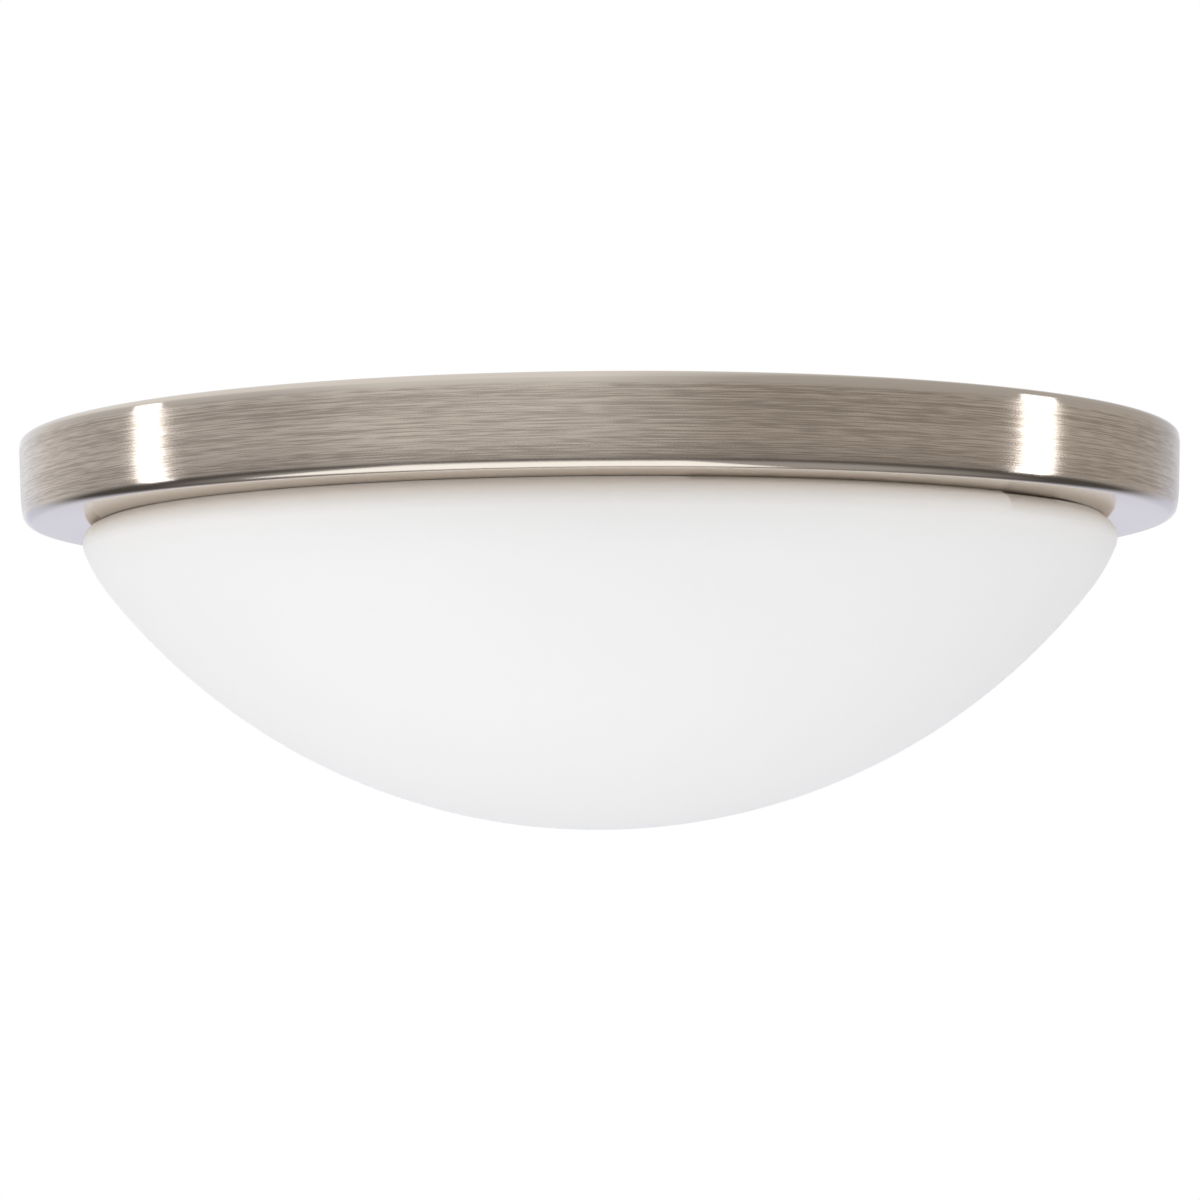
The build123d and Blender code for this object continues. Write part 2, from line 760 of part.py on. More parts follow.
def make_gasket():
    """Soft ring that caps the neck's rim, with one leg down outside it, and seats against the pan."""
    leg_radius = gasket_outer_radius - gasket_leg_width
    return turned(
        outline(
            (gasket_inner_radius, gasket_top_z),
            (gasket_outer_radius, gasket_top_z),
            (gasket_outer_radius, rim_z - gasket_leg_height),
            (leg_radius, rim_z - gasket_leg_height),
            (leg_radius, gasket_low_z),
            (gasket_inner_radius, gasket_low_z),
        )
    )


os.makedirs("parts", exist_ok=True)

save("trim_ring", make_trim_ring())
save("back_pan", make_back_pan())
save("crossbar", make_crossbar())
save("fixture_screws", *make_fixture_screws())
save("ground_screw", make_ground_screw())
save("ground_ring_terminal", make_ring_terminal())
save("wire_bushing", make_wire_bushing())
save("terminal_block", make_terminal_block())
save("clamp_screws", *make_clamp_screws())
save("terminal_fixing_screw", make_fixing_screw())
save("driver_case", make_driver_case())
save("driver_lid", make_driver_lid())
save("driver_board", make_driver_board())
save("driver_screws", *make_driver_screws())
save("tray_posts", *make_tray_posts())
save("gear_tray", make_gear_tray())
save("thumb_screws", *make_thumb_screws())
save("led_board", make_led_board())
save("led_chips", *make_led_chips())
save("board_screws", *make_board_screws())
save("board_connector", make_board_connector())
save("live_lead", make_mains_lead(0, 0, -3))
save("neutral_lead", make_mains_lead(1, 1, 3))
save("ground_lead", make_ground_lead())
save("led_plus_lead", make_led_lead(0))
save("led_minus_lead", make_led_lead(1))
save("glass_clips", *make_glass_clips())
save("glass_gasket", make_gasket())
save("glass_dome", make_glass_dome())
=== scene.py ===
from functools import partial
from math import atan2, cos, degrees, hypot, pi, radians, sin, tan

import bmesh
import bpy
from mathutils import Matrix, Vector
from mathutils.geometry import delaunay_2d_cdt


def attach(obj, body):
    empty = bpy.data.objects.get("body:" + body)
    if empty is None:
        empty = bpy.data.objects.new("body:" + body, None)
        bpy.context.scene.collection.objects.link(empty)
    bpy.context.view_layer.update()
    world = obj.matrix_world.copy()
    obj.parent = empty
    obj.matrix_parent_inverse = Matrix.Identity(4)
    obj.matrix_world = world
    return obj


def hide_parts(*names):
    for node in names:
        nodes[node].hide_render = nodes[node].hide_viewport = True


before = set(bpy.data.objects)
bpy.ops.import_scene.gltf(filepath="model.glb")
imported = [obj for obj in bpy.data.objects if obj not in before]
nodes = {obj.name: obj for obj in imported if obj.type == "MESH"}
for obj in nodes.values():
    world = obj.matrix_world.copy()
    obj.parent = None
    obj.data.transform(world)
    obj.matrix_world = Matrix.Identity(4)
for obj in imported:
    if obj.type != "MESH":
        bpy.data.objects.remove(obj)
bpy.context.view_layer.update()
MM = 0.001

# --- Crossbar ------------------------------------------------------------------------------------------
# Pressed steel strap that screws to the outlet box, with slots for the box's screws and a hole for a lamp
# pipe. Blanked from 2 mm strip and zinc plated, so it is bright with a cloudy bloom.


def new_finish(name, colour, metallic=0.0, roughness=0.5, specular=0.5, coat=0.0, coat_roughness=0.1):
    """A material with one shader, and the object's own coordinates to hang noises on."""
    material = bpy.data.materials.new(name)
    material.use_nodes = True
    tree = material.node_tree
    shader = tree.nodes["Principled BSDF"]
    shader.inputs["Base Color"].default_value = (*colour, 1)
    shader.inputs["Metallic"].default_value = metallic
    shader.inputs["Roughness"].default_value = roughness
    shader.inputs["Specular IOR Level"].default_value = specular
    shader.inputs["Coat Weight"].default_value = coat
    shader.inputs["Coat Roughness"].default_value = coat_roughness
    place = tree.nodes.new("ShaderNodeTexCoord").outputs["Object"]
    return material, tree, shader, place


def stretched(tree, place, scale):
    """The coordinates, scaled along each axis: few marks per metre where they run long."""
    mapping = tree.nodes.new("ShaderNodeMapping")
    mapping.inputs["Scale"].default_value = scale
    tree.links.new(place, mapping.inputs["Vector"])
    return mapping.outputs["Vector"]


def cloudy(tree, place, scale, detail=2.0):
    """A soft noise with so many patches per metre."""
    noise = tree.nodes.new("ShaderNodeTexNoise")
    noise.inputs["Scale"].default_value = scale
    noise.inputs["Detail"].default_value = detail
    tree.links.new(place, noise.inputs["Vector"])
    return noise.outputs["Fac"]


def between(tree, value, low, high, start=0.0, end=1.0):
    """Spreads a value that runs from start to end over low to high."""
    spread = tree.nodes.new("ShaderNodeMapRange")
    for socket, number in zip(("From Min", "From Max", "To Min", "To Max"), (start, end, low, high)):
        spread.inputs[socket].default_value = number
    tree.links.new(value, spread.inputs["Value"])
    return spread.outputs["Result"]


def blended(tree, value, first, second):
    """A colour between two, by a value from 0 to 1. Either may be a colour or an output."""
    mix = tree.nodes.new("ShaderNodeMix")
    mix.data_type = "RGBA"
    for socket, colour in (("A", first), ("B", second)):
        if isinstance(colour, tuple):
            mix.inputs[socket].default_value = (*colour, 1)
        else:
            tree.links.new(colour, mix.inputs[socket])
    tree.links.new(value, mix.inputs["Factor"])
    return mix.outputs["Result"]


def calculated(tree, operation, *values):
    """One sum on outputs and numbers."""
    node = tree.nodes.new("ShaderNodeMath")
    node.operation = operation
    for socket, value in zip(node.inputs, values):
        if isinstance(value, (int, float)):
            socket.default_value = value
        else:
            tree.links.new(value, socket)
    return node.outputs["Value"]


def pressed_in(tree, shader, height, strength, distance):
    """Bump: marks that lie this many metres deep at most."""
    bump = tree.nodes.new("ShaderNodeBump")
    bump.inputs["Strength"].default_value = strength
    bump.inputs["Distance"].default_value = distance
    tree.links.new(height, bump.inputs["Height"])
    tree.links.new(bump.outputs["Normal"], shader.inputs["Normal"])


def patchy(tree, shader, noise, shade, colour, spread=0.15):
    """Lets the colour drift between two shades with a noise."""
    drift = between(tree, noise, 0, 1, 0.5 - spread, 0.5 + spread)
    tree.links.new(blended(tree, drift, shade, colour), shader.inputs["Base Color"])


def uneven(tree, shader, noise, first, second):
    """Lets the roughness drift between two values with a noise."""
    tree.links.new(between(tree, noise, first, second, 0.3, 0.7), shader.inputs["Roughness"])


def plated_steel(name, colour, dark, roughness):
    """Plated small parts: cloudy patches and fine draw marks."""
    material, tree, shader, place = new_finish(name, colour, metallic=1.0, roughness=roughness)
    patches = cloudy(tree, place, 130, detail=3)
    patchy(tree, shader, patches, dark, colour)
    uneven(tree, shader, patches, roughness + 0.08, roughness - 0.06)
    marks = cloudy(tree, stretched(tree, place, (260, 2600, 2600)), 1.0)
    pressed_in(tree, shader, marks, 0.25, 0.00004)
    return material


def dress(material, *names):
    """Gives CAD pieces a finish."""
    for name in names:
        piece = nodes[name]
        for at in range(len(piece.material_slots)):
            piece.material_slots[at].material = material


dress(plated_steel("zinc_plate", (0.63, 0.64, 0.64), (0.53, 0.54, 0.56), 0.34), "crossbar")

# --- Ring: drawn, brushed and plated --------------------------------------------------------------------
# One piece of steel sheet drawn to a shallow cup: flange on the ceiling, rolled edge, wall, bottom bend,
# flat underside, and a lip turned up round the opening. Brushed round its axis and nickel plated.

RING_RADIUS = 165.0
RING_FOOT_RADIUS = 164.2
RING_HEIGHT = 23.6
RING_SHEET = 0.8
RING_FLANGE_RADIUS = 157.0
RING_OPENING_RADIUS = 138.6
RING_LIP_TOP = -18.6
ROLL_RADIUS = 1.6
FOOT_BEND_RADIUS = 2.5
OPENING_BEND_RADIUS = 1.2
EASE_TOP = 3.7
EASE_TOP_SAG = 0.21
EASE_FOOT = 15.5
EASE_FOOT_SAG = 0.95
RING_COLUMNS = 360


def rounded(before, corner, after, radius, steps):
    """Points round a corner of a section, on the arc that touches both of its lines."""
    corner = Vector(corner)
    back, on = (Vector(before) - corner).normalized(), (Vector(after) - corner).normalized()
    half = back.angle(on) / 2
    centre = corner + (back + on).normalized() * radius / sin(half)
    first = corner + back * radius / tan(half) - centre
    last = corner + on * radius / tan(half) - centre
    spread = pi - 2 * half
    points = []
    for i in range(steps + 1):
        share = i / steps
        weight_a, weight_b = sin((1 - share) * spread) / sin(spread), sin(share * spread) / sin(spread)
        points.append(tuple(centre + first * weight_a + last * weight_b))
    return points


def turned(section, columns=0, angles=None):
    """A closed section (radius, height) turned about the upright axis: points and faces."""
    angles = angles or [2 * pi * i / columns for i in range(columns)]
    count, size = len(angles), len(section)
    points = [(r * cos(a), r * sin(a), z) for a in angles for r, z in section]
    faces = []
    for i in range(count):
        here, there = i * size, (i + 1) % count * size
        for j in range(size):
            k = (j + 1) % size
            faces.append((here + j, there + j, there + k, here + k))
    return points, faces


def solid(name, shape, crease=35):
    """A piece from points in millimetres and faces, smooth but for edges sharper than the crease."""
    points, faces = shape
    mesh = bpy.data.meshes.new(name)
    mesh.from_pydata([[value * MM for value in point] for point in points], [], faces)
    welded = bmesh.new()
    welded.from_mesh(mesh)
    bmesh.ops.remove_doubles(welded, verts=welded.verts, dist=0.002 * MM)
    bmesh.ops.delete(welded, geom=[edge for edge in welded.edges if not edge.link_faces], context="EDGES")
    bmesh.ops.recalc_face_normals(welded, faces=welded.faces)
    welded.to_mesh(mesh)
    welded.free()
    mesh.shade_smooth()
    mesh.set_sharp_from_angle(angle=radians(crease))
    piece = bpy.data.objects.new(name, mesh)
    bpy.context.scene.collection.objects.link(piece)
    return piece


def eased(radius, height):
    """The drawn wall leans in a little on its way to the roll and to the bend."""
    above = max(0.0, height + EASE_TOP) / EASE_TOP
    below = max(0.0, -EASE_FOOT - height) / (RING_HEIGHT - EASE_FOOT)
    return radius - EASE_TOP_SAG * above ** 2 - EASE_FOOT_SAG * below ** 2, height


def ring_section():
    """From the flange's inner edge round the outside to the lip, and back one sheet behind."""
    start, top = (RING_FLANGE_RADIUS, 0), (RING_RADIUS, 0)
    foot, edge = (RING_FOOT_RADIUS, -RING_HEIGHT), (RING_OPENING_RADIUS, -RING_HEIGHT)
    lip = (RING_OPENING_RADIUS, RING_LIP_TOP)
    roll = rounded(start, top, foot, ROLL_RADIUS, 10)
    bend = rounded(top, foot, edge, FOOT_BEND_RADIUS, 14)
    wall = [tuple(Vector(roll[-1]).lerp(Vector(bend[0]), i / 20)) for i in range(1, 20)]
    skin = [start] + [eased(*point) for point in roll + wall + bend]
    skin += rounded(foot, edge, lip, OPENING_BEND_RADIUS, 6)
    skin += [lip]
    behind = [(RING_FLANGE_RADIUS, -RING_SHEET), (RING_RADIUS - RING_SHEET, -RING_SHEET),
              (RING_FOOT_RADIUS - RING_SHEET, RING_SHEET - RING_HEIGHT),
              (RING_OPENING_RADIUS + RING_SHEET, RING_SHEET - RING_HEIGHT),
              (RING_OPENING_RADIUS + RING_SHEET, RING_LIP_TOP)]
    inside = [behind[0]]
    inside += rounded(*behind[0:3], ROLL_RADIUS - RING_SHEET, 4)
    inside += rounded(*behind[1:4], FOOT_BEND_RADIUS - RING_SHEET, 5)
    inside += rounded(*behind[2:5], OPENING_BEND_RADIUS - RING_SHEET, 3)
    inside += [behind[4]]
    return skin + inside[::-1]


def split(tree, place):
    """The three coordinates one by one."""
    axes = tree.nodes.new("ShaderNodeSeparateXYZ")
    tree.links.new(place, axes.inputs["Vector"])
    return axes.outputs["X"], axes.outputs["Y"], axes.outputs["Z"]


def from_axis(tree, x, y):
    """Distance from the upright axis."""
    squares = [calculated(tree, "MULTIPLY", value, value) for value in (x, y)]
    return calculated(tree, "SQRT", calculated(tree, "ADD", *squares))


# Marks per metre along x, along y and across the wall
LONG_MARKS = (24, 24, 4300)
SHORT_MARKS = (130, 130, 3200)
SPECKS = (1300, 1300, 3600)
BRUSH_DEPTH = 0.000014
# Heights in metres over which the brushing comes in, over which it fades out, and where the underside ends
BRUSHED_FROM = (-0.0225, -0.0205)
BRUSHED_TO = (-0.0036, -0.0024)
UNDERSIDE_END = (-0.02358, -0.0232)
DARK_MARK, LIGHT_MARK = (0.45, 0.395, 0.348), (0.70, 0.63, 0.565)
# The underside's nickel is painted lighter than the bend's and the top edge's: painted light that brightens
# its reflection of the shaded crevice by the glass.
UNDERSIDE_NICKEL_PAINTED_LIGHTER, EDGE_METAL = (0.74, 0.63, 0.52), (0.64, 0.595, 0.545)


def brushed_nickel():
    """Warm nickel. The brush marks run round the wall; the underside and the top edge are smoother."""
    material, tree, shader, place = new_finish("brushed_nickel", (0.60, 0.545, 0.49), 1.0, 0.3)
    calc = partial(calculated, tree)
    x, y, z = split(tree, place)
    on_sheet = tree.nodes.new("ShaderNodeCombineXYZ")
    for socket, value in zip(on_sheet.inputs, (x, y, calc("ADD", z, from_axis(tree, x, y)))):
        tree.links.new(value, socket)
    marks = on_sheet.outputs["Vector"]
    long_marks = cloudy(tree, stretched(tree, marks, LONG_MARKS), 1.0, detail=0.5)
    short_marks = cloudy(tree, stretched(tree, marks, SHORT_MARKS), 1.0, detail=0)
    specks = cloudy(tree, stretched(tree, marks, SPECKS), 1.0, detail=1)
    on_wall = calc("MULTIPLY", between(tree, z, 0, 1, *BRUSHED_FROM), between(tree, z, 1, 0, *BRUSHED_TO))
    grain = calc("ADD", calc("MULTIPLY", long_marks, 0.6), calc("MULTIPLY", short_marks, 0.4))
    lines = blended(tree, between(tree, grain, 0, 1, 0.39, 0.61), DARK_MARK, LIGHT_MARK)
    # Unbrushed metal: the underside painted lighter than the edge, a painted light on its reflection of the
    # crevice.
    plain = blended(tree, between(tree, z, 0, 1, *UNDERSIDE_END), UNDERSIDE_NICKEL_PAINTED_LIGHTER, EDGE_METAL)
    tree.links.new(blended(tree, on_wall, plain, lines), shader.inputs["Base Color"])
    rough = calc("MULTIPLY_ADD", on_wall, between(tree, specks, 0.11, 0.16, 0.3, 0.7), 0.12)
    tree.links.new(rough, shader.inputs["Roughness"])
    height = calc("ADD", calc("MULTIPLY", grain, 0.75), calc("MULTIPLY", specks, 0.25))
    faded = calc("MULTIPLY", height, calc("MULTIPLY_ADD", on_wall, 0.97, 0.03))
    pressed_in(tree, shader, faded, 1.0, BRUSH_DEPTH)
    shader.inputs["Anisotropic"].default_value = 1.0
    shader.inputs["Anisotropic Rotation"].default_value = 0.25
    along = tree.nodes.new("ShaderNodeTangent")
    along.direction_type = "RADIAL"
    along.axis = "Z"
    tree.links.new(along.outputs["Tangent"], shader.inputs["Tangent"])
    return material


ring = solid("trim_ring_drawn", turned(ring_section(), columns=RING_COLUMNS))
ring.data.materials.append(brushed_nickel())
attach(ring, "fixture")
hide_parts("trim_ring")

# --- Back pan -------------------------------------------------------------------------------------------
# Pressed steel disc under the ring's flange, with a flat seat for the gasket and two keyholes. Powder
# coated white: a smooth coat with a fine orange peel.


def powder_coat(name, colour, shade, roughness=0.42):
    """Baked powder: an even colour, faint clouds and a fine orange peel."""
    material, tree, shader, place = new_finish(name, colour, roughness=roughness, specular=0.5)
    patchy(tree, shader, cloudy(tree, place, 14), shade, colour)
    uneven(tree, shader, cloudy(tree, place, 60), roughness - 0.05, roughness + 0.07)
    pressed_in(tree, shader, cloudy(tree, place, 650, detail=1), 0.35, 0.00006)
    return material


dress(powder_coat("pan_coat", (0.80, 0.80, 0.785), (0.765, 0.765, 0.75)), "back_pan")

# --- Screws into the crossbar: two fixture screws and the ground screw -----------------------------------
# The fixture screws draw the pan up against the crossbar: nickel plated, pan heads with a cross recess. The
# ground screw has a green plated hexagonal head with a slot, and clamps the ring terminal of the lead.

FIXTURE_SCREW_X = 66
GROUND_SCREW_X = 20
GROUND_HEAD_WIDTH = 7.0


def circle(radius, count):
    """Outline with so many points."""
    return [(radius * cos(2 * pi * i / count), radius * sin(2 * pi * i / count)) for i in range(count)]


def cross(reach, half):
    """Outline of a cross recess."""
    quarter = [(reach, -half), (reach, half), (half, half)]
    turns = (lambda x, y: (x, y), lambda x, y: (-y, x), lambda x, y: (-x, -y), lambda x, y: (y, -x))
    return [turn(*point) for turn in turns for point in quarter]


def slot_across(reach, half):
    """Outline of a slot from side to side."""
    return [(-reach, -half), (reach, -half), (reach, half), (-reach, half)]


def is_inside(point, outline):
    """Whether a point lies in an outline, by the edges that a line from it crosses."""
    x, y = point
    crossed = False
    for (x1, y1), (x2, y2) in zip(outline, outline[1:] + outline[:1]):
        if (y1 > y) != (y2 > y) and x < x1 + (y - y1) * (x2 - x1) / (y2 - y1):
            crossed = not crossed
    return crossed


def pressed_plate(outline, hollows, z, taper=0.8):
    """A flat face at z. Each hollow is (its outline, how far its floor lies above the face)."""
    flat, edges = [], []
    for loop in [outline] + [hollow for hollow, sink in hollows]:
        start = len(flat)
        flat += loop
        edges += [(start + i, start + (i + 1) % len(loop)) for i in range(len(loop))]
    found = delaunay_2d_cdt([Vector(point) for point in flat], edges, [], 0, 1e-7)
    corners, triangles = found[0], found[2]
    faces = []
    for triangle in triangles:
        middle = sum((corners[i] for i in triangle), Vector((0, 0))) / 3
        if not any(is_inside(middle, hollow) for hollow, sink in hollows):
            faces.append(tuple(triangle))
    shapes = [([(x, y, z) for x, y in corners], faces)]
    for hollow, sink in hollows:
        count = len(hollow)
        centre = sum((Vector(point) for point in hollow), Vector((0, 0))) / count
        floor = [centre + (Vector(point) - centre) * taper for point in hollow]
        rings = [(x, y, z) for x, y in hollow] + [(x, y, z + sink) for x, y in floor]
        walls = [(i, (i + 1) % count, count + (i + 1) % count, count + i) for i in range(count)]
        shapes.append((rings, walls + [tuple(range(count, 2 * count))]))
    return joined(*shapes)


def joined(*shapes):
    """Several shapes as one."""
    points, faces = [], []
    for more_points, more_faces in shapes:
        base = len(points)
        points += more_points
        faces += [tuple(base + i for i in face) for face in more_faces]
    return points, faces


def tube_faces(rows, columns):
    """Faces of a tube whose points lie in rows, each row once round it."""
    faces = []
    for i in range(rows - 1):
        here, there = i * columns, (i + 1) * columns
        for j in range(columns):
            k = (j + 1) % columns
            faces.append((here + j, here + k, there + k, there + j))
    return faces


def end_faces(rows, columns):
    """The two faces that close such a tube."""
    return [tuple(range(columns)), tuple(range((rows - 1) * columns, rows * columns))]


def stepped(outline, rows):
    """Walls through (scale, height) rows of one outline."""
    points = [(x * scale, y * scale, z) for scale, z in rows for x, y in outline]
    return points, tube_faces(len(rows), len(outline))


def capped(outline, rows, hollows):
    """A head or housing: walls, a flat lid over the first row, and the last row closed round its hollows."""
    scale, z = rows[-1]
    first_scale, first_z = rows[0]
    lid = [(x * first_scale, y * first_scale, first_z) for x, y in outline]
    end = pressed_plate([(x * scale, y * scale) for x, y in outline], hollows, z)
    return joined(stepped(outline, rows), end, (lid, [tuple(range(len(lid)))]))


def threaded(radius, low, high, pitch, columns=20):
    """A screw's body, with a ridge that climbs round it and a turned-down end."""
    rows = max(6, int((high - low) / pitch * 6))
    points = []
    for i in range(rows + 1):
        z = low + (high - low) * i / rows
        for j in range(columns):
            ridge = abs(2 * ((z / pitch - j / columns) % 1) - 1)
            out = radius - 0.5 * pitch * (1 - ridge) - 0.5 * max(0.0, z - high + 0.8 * pitch)
            a = 2 * pi * j / columns
            points.append((out * cos(a), out * sin(a), z))
    return points, tube_faces(rows + 1, columns) + end_faces(rows + 1, columns)


# A pan head's outline: share of its radius, share of its height
PAN_HEAD = [(0.985, 0), (1, 0.06), (1, 0.45), (0.98, 0.6), (0.93, 0.74), (0.85, 0.86), (0.75, 0.95),
            (0.66, 1)]


def cross_screw(head, seat, recess, body, end, pitch, overlap=0.1, columns=16):
    """A pan-head screw that hangs from its seat. Its body starts a little way inside the head."""
    head_radius, head_height = head
    rows = [(scale, seat - head_height * down) for scale, down in PAN_HEAD]
    round_head = capped(circle(head_radius, 36), rows, [(cross(*recess), 0.7 * head_height)])
    return joined(round_head, threaded(body, seat - overlap, end, pitch, columns))


def placed(shape, x, y, turn=0.0):
    """A shape turned by degrees and set down at x, y."""
    points, faces = shape
    c, s = cos(radians(turn)), sin(radians(turn))
    return [(x + px * c - py * s, y + px * s + py * c, z) for px, py, z in points], faces


def fitted(piece, finish, body, slot_name, *replaced):
    """Finish, the body that the piece moves with, and the plain solids that it stands for."""
    piece.data.materials.append(finish)
    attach(piece, body)
    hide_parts(*replaced)


screw_nickel = plated_steel("screw_nickel", (0.66, 0.64, 0.60), (0.54, 0.52, 0.48), 0.26)
fixture_screw = cross_screw(head=(4.1, 2.5), seat=-6.7, recess=(2.15, 0.5), body=2.0, end=0.0, pitch=0.8,
                            overlap=0.2, columns=20)
fixture_screws = joined(placed(fixture_screw, -FIXTURE_SCREW_X, 0, 20),
                        placed(fixture_screw, FIXTURE_SCREW_X, 0, 65))
fitted(solid("fixture_screws_cut", fixture_screws), screw_nickel, "fixture", "screw_steel", "fixture_screws")

ground_hexagon = circle(GROUND_HEAD_WIDTH / 3 ** 0.5, 6)
ground_rows = [(0.97, -2.8), (1, -2.9), (1, -4.4), (0.9, -4.8)]
ground_head = capped(ground_hexagon, ground_rows, [(slot_across(2.6, 0.4), 0.9)])
ground_body = threaded(1.8, -3.0, 0.0, 0.7)
ground_screw = joined(placed(ground_head, GROUND_SCREW_X, 0, 12), placed(ground_body, GROUND_SCREW_X, 0))
fitted(solid("ground_screw_cut", ground_screw, crease=28),
       plated_steel("green_zinc", (0.10, 0.40, 0.17), (0.05, 0.27, 0.11), 0.34), "fixture", "ground_green",
       "ground_screw")
dress(plated_steel("tinned_brass", (0.76, 0.66, 0.44), (0.62, 0.51, 0.32), 0.3), "ground_ring_terminal")

# --- Wire bushing ---------------------------------------------------------------------------------------
# Black moulded nylon grommet pushed up through the pan's wire hole. Its rounded mouths keep the leads off
# the sheet's cut edge.

BUSHING_Y = 30
BUSHING_BORE = 9.0
BUSHING_BODY = 10.8
BUSHING_FLANGE = 13.2
BUSHING_TOP = -5.35
BUSHING_SEAT = -6.75
BUSHING_FOOT = -7.75


def moulded_plastic(name, colour, shade, roughness=0.45, grain=0.25):
    """Moulded plastic: an even colour with faint flow marks and a spark-eroded grain."""
    material, tree, shader, place = new_finish(name, colour, roughness=roughness, specular=0.45)
    patchy(tree, shader, cloudy(tree, place, 45, detail=3), shade, colour)
    uneven(tree, shader, cloudy(tree, place, 120), roughness - 0.06, roughness + 0.08)
    pressed_in(tree, shader, cloudy(tree, place, 2200, detail=1), grain, 0.00004)
    return material


def all_rounded(corners, radii, steps=5):
    """A closed section with each corner rounded by its own radius, or left sharp where that is 0."""
    points = []
    for i, (corner, radius) in enumerate(zip(corners, radii)):
        before, after = corners[i - 1], corners[(i + 1) % len(corners)]
        points += rounded(before, corner, after, radius, steps) if radius else [corner]
    return points


bushing_corners = [(BUSHING_BORE, BUSHING_TOP), (BUSHING_BODY, BUSHING_TOP), (BUSHING_BODY, BUSHING_SEAT),
                   (BUSHING_FLANGE, BUSHING_SEAT), (BUSHING_FLANGE, BUSHING_FOOT),
                   (BUSHING_BORE, BUSHING_FOOT)]
bushing = turned(all_rounded(bushing_corners, [0.6, 0.3, 0, 0.25, 0.45, 0.7]), 72)
fitted(solid("wire_bushing_moulded", placed(bushing, 0, BUSHING_Y)),
       moulded_plastic("black_nylon", (0.022, 0.022, 0.023), (0.034, 0.034, 0.034), 0.4), "fixture",
       "bushing_nylon", "wire_bushing")

# --- Terminal block -------------------------------------------------------------------------------------
# Milky moulded block with three poles, screwed up against the pan. A slotted clamp screw sinks into a well
# over each wire channel, and its own screw stands between the last two poles.

BLOCK_SCREW_X, BLOCK_SCREW_Y = -41, 42

dress(moulded_plastic("milky_nylon", (0.80, 0.80, 0.74), (0.74, 0.74, 0.67), 0.38), "terminal_block")
dress(plated_steel("yellow_zinc", (0.66, 0.58, 0.38), (0.55, 0.46, 0.28), 0.32), "clamp_screws")
block_screw = cross_screw(head=(2.5, 1.8), seat=-17.9, recess=(1.3, 0.32), body=1.5, end=-6.0, pitch=0.8)
fitted(solid("terminal_fixing_screw_cut", placed(block_screw, BLOCK_SCREW_X, BLOCK_SCREW_Y, 30)),
       screw_nickel, "fixture", "screw_steel", "terminal_fixing_screw")

# --- Driver ---------------------------------------------------------------------------------------------
# The box that feeds the board: moulded case with an ear at each end, a lid snapped in from below, and a
# circuit board with its transformer, capacitor and coil. Two screws hold it up against the pan.

DRIVER_SCREW_X, DRIVER_SCREW_Y = 55, -54
DRIVER_BOARD_UNDER = (-0.01215, -0.0121)

driver_plastic = moulded_plastic("driver_plastic", (0.72, 0.72, 0.71), (0.66, 0.66, 0.65), 0.5, 0.4)
dress(driver_plastic, "driver_case", "driver_lid")


def circuit_board():
    """Green board; what stands on it is black and brown."""
    material, tree, shader, place = new_finish("circuit_board", (0.03, 0.20, 0.08), roughness=0.32, coat=0.3)
    z = split(tree, place)[2]
    traces = between(tree, cloudy(tree, place, 220), 0, 1, 0.45, 0.55)
    mask = blended(tree, traces, (0.02, 0.14, 0.06), (0.03, 0.21, 0.09))
    parts = between(tree, cloudy(tree, place, 30), 0, 1, 0.45, 0.55)
    cases = blended(tree, parts, (0.03, 0.03, 0.03), (0.22, 0.14, 0.07))
    below = between(tree, z, 1, 0, *DRIVER_BOARD_UNDER)
    tree.links.new(blended(tree, below, mask, cases), shader.inputs["Base Color"])
    pressed_in(tree, shader, cloudy(tree, place, 900), 0.15, 0.00005)
    return material


dress(circuit_board(), "driver_board")
driver_screw = cross_screw(head=(3.3, 2.0), seat=-9.2, recess=(1.75, 0.42), body=1.75, end=-6.0, pitch=1.1,
                           overlap=0.2)
driver_screws = joined(placed(driver_screw, -DRIVER_SCREW_X, DRIVER_SCREW_Y, 10),
                       placed(driver_screw, DRIVER_SCREW_X, DRIVER_SCREW_Y, 50))
fitted(solid("driver_screws_cut", driver_screws), screw_nickel, "fixture", "screw_steel", "driver_screws")

# --- Gear tray, posts and thumb screws --------------------------------------------------------------------
# White pressed disc with an upturned rim that covers the wiring and spreads the board's heat. It hangs on
# three hexagonal posts from the pan, under brass thumb screws with knurled, nickel plated heads.

POST_CIRCLE = 108.0
POST_ANGLES = (90, 210, 330)
KNURL_TEETH = 40

dress(powder_coat("tray_coat", (0.84, 0.84, 0.835), (0.80, 0.80, 0.795), 0.36), "gear_tray")
dress(plated_steel("post_zinc", (0.66, 0.67, 0.66), (0.56, 0.57, 0.57), 0.3), "tray_posts")


def knurled(radius, depth, teeth):
    """Outline with pointed teeth."""
    reaches = [radius - depth * (i % 2) for i in range(2 * teeth)]
    return [(reach * cos(pi * i / teeth), reach * sin(pi * i / teeth)) for i, reach in enumerate(reaches)]


def around(shape, radius, angles, turn=0):
    """Copies on a circle, each turned with its place on it."""
    spots = [(radius * cos(radians(a)), radius * sin(radians(a)), a + turn) for a in angles]
    return joined(*[placed(shape, *spot) for spot in spots])


thumb_rows = [(0.86, -27.0), (0.93, -27.05), (1, -27.6), (1, -31.2), (0.94, -31.75), (0.86, -32.0)]
thumb_head = capped(knurled(5.5, 0.32, KNURL_TEETH), thumb_rows, [(circle(3.4, 36), 0.5)])
thumb_screw = joined(thumb_head, threaded(2.0, -27.2, -18.2, 0.7, 16))
fitted(solid("thumb_screws_knurled", around(thumb_screw, POST_CIRCLE, POST_ANGLES, 7), crease=25),
       plated_steel("thumb_nickel", (0.70, 0.67, 0.62), (0.60, 0.57, 0.52), 0.24), "fixture", "thumb_nickel",
       "thumb_screws")

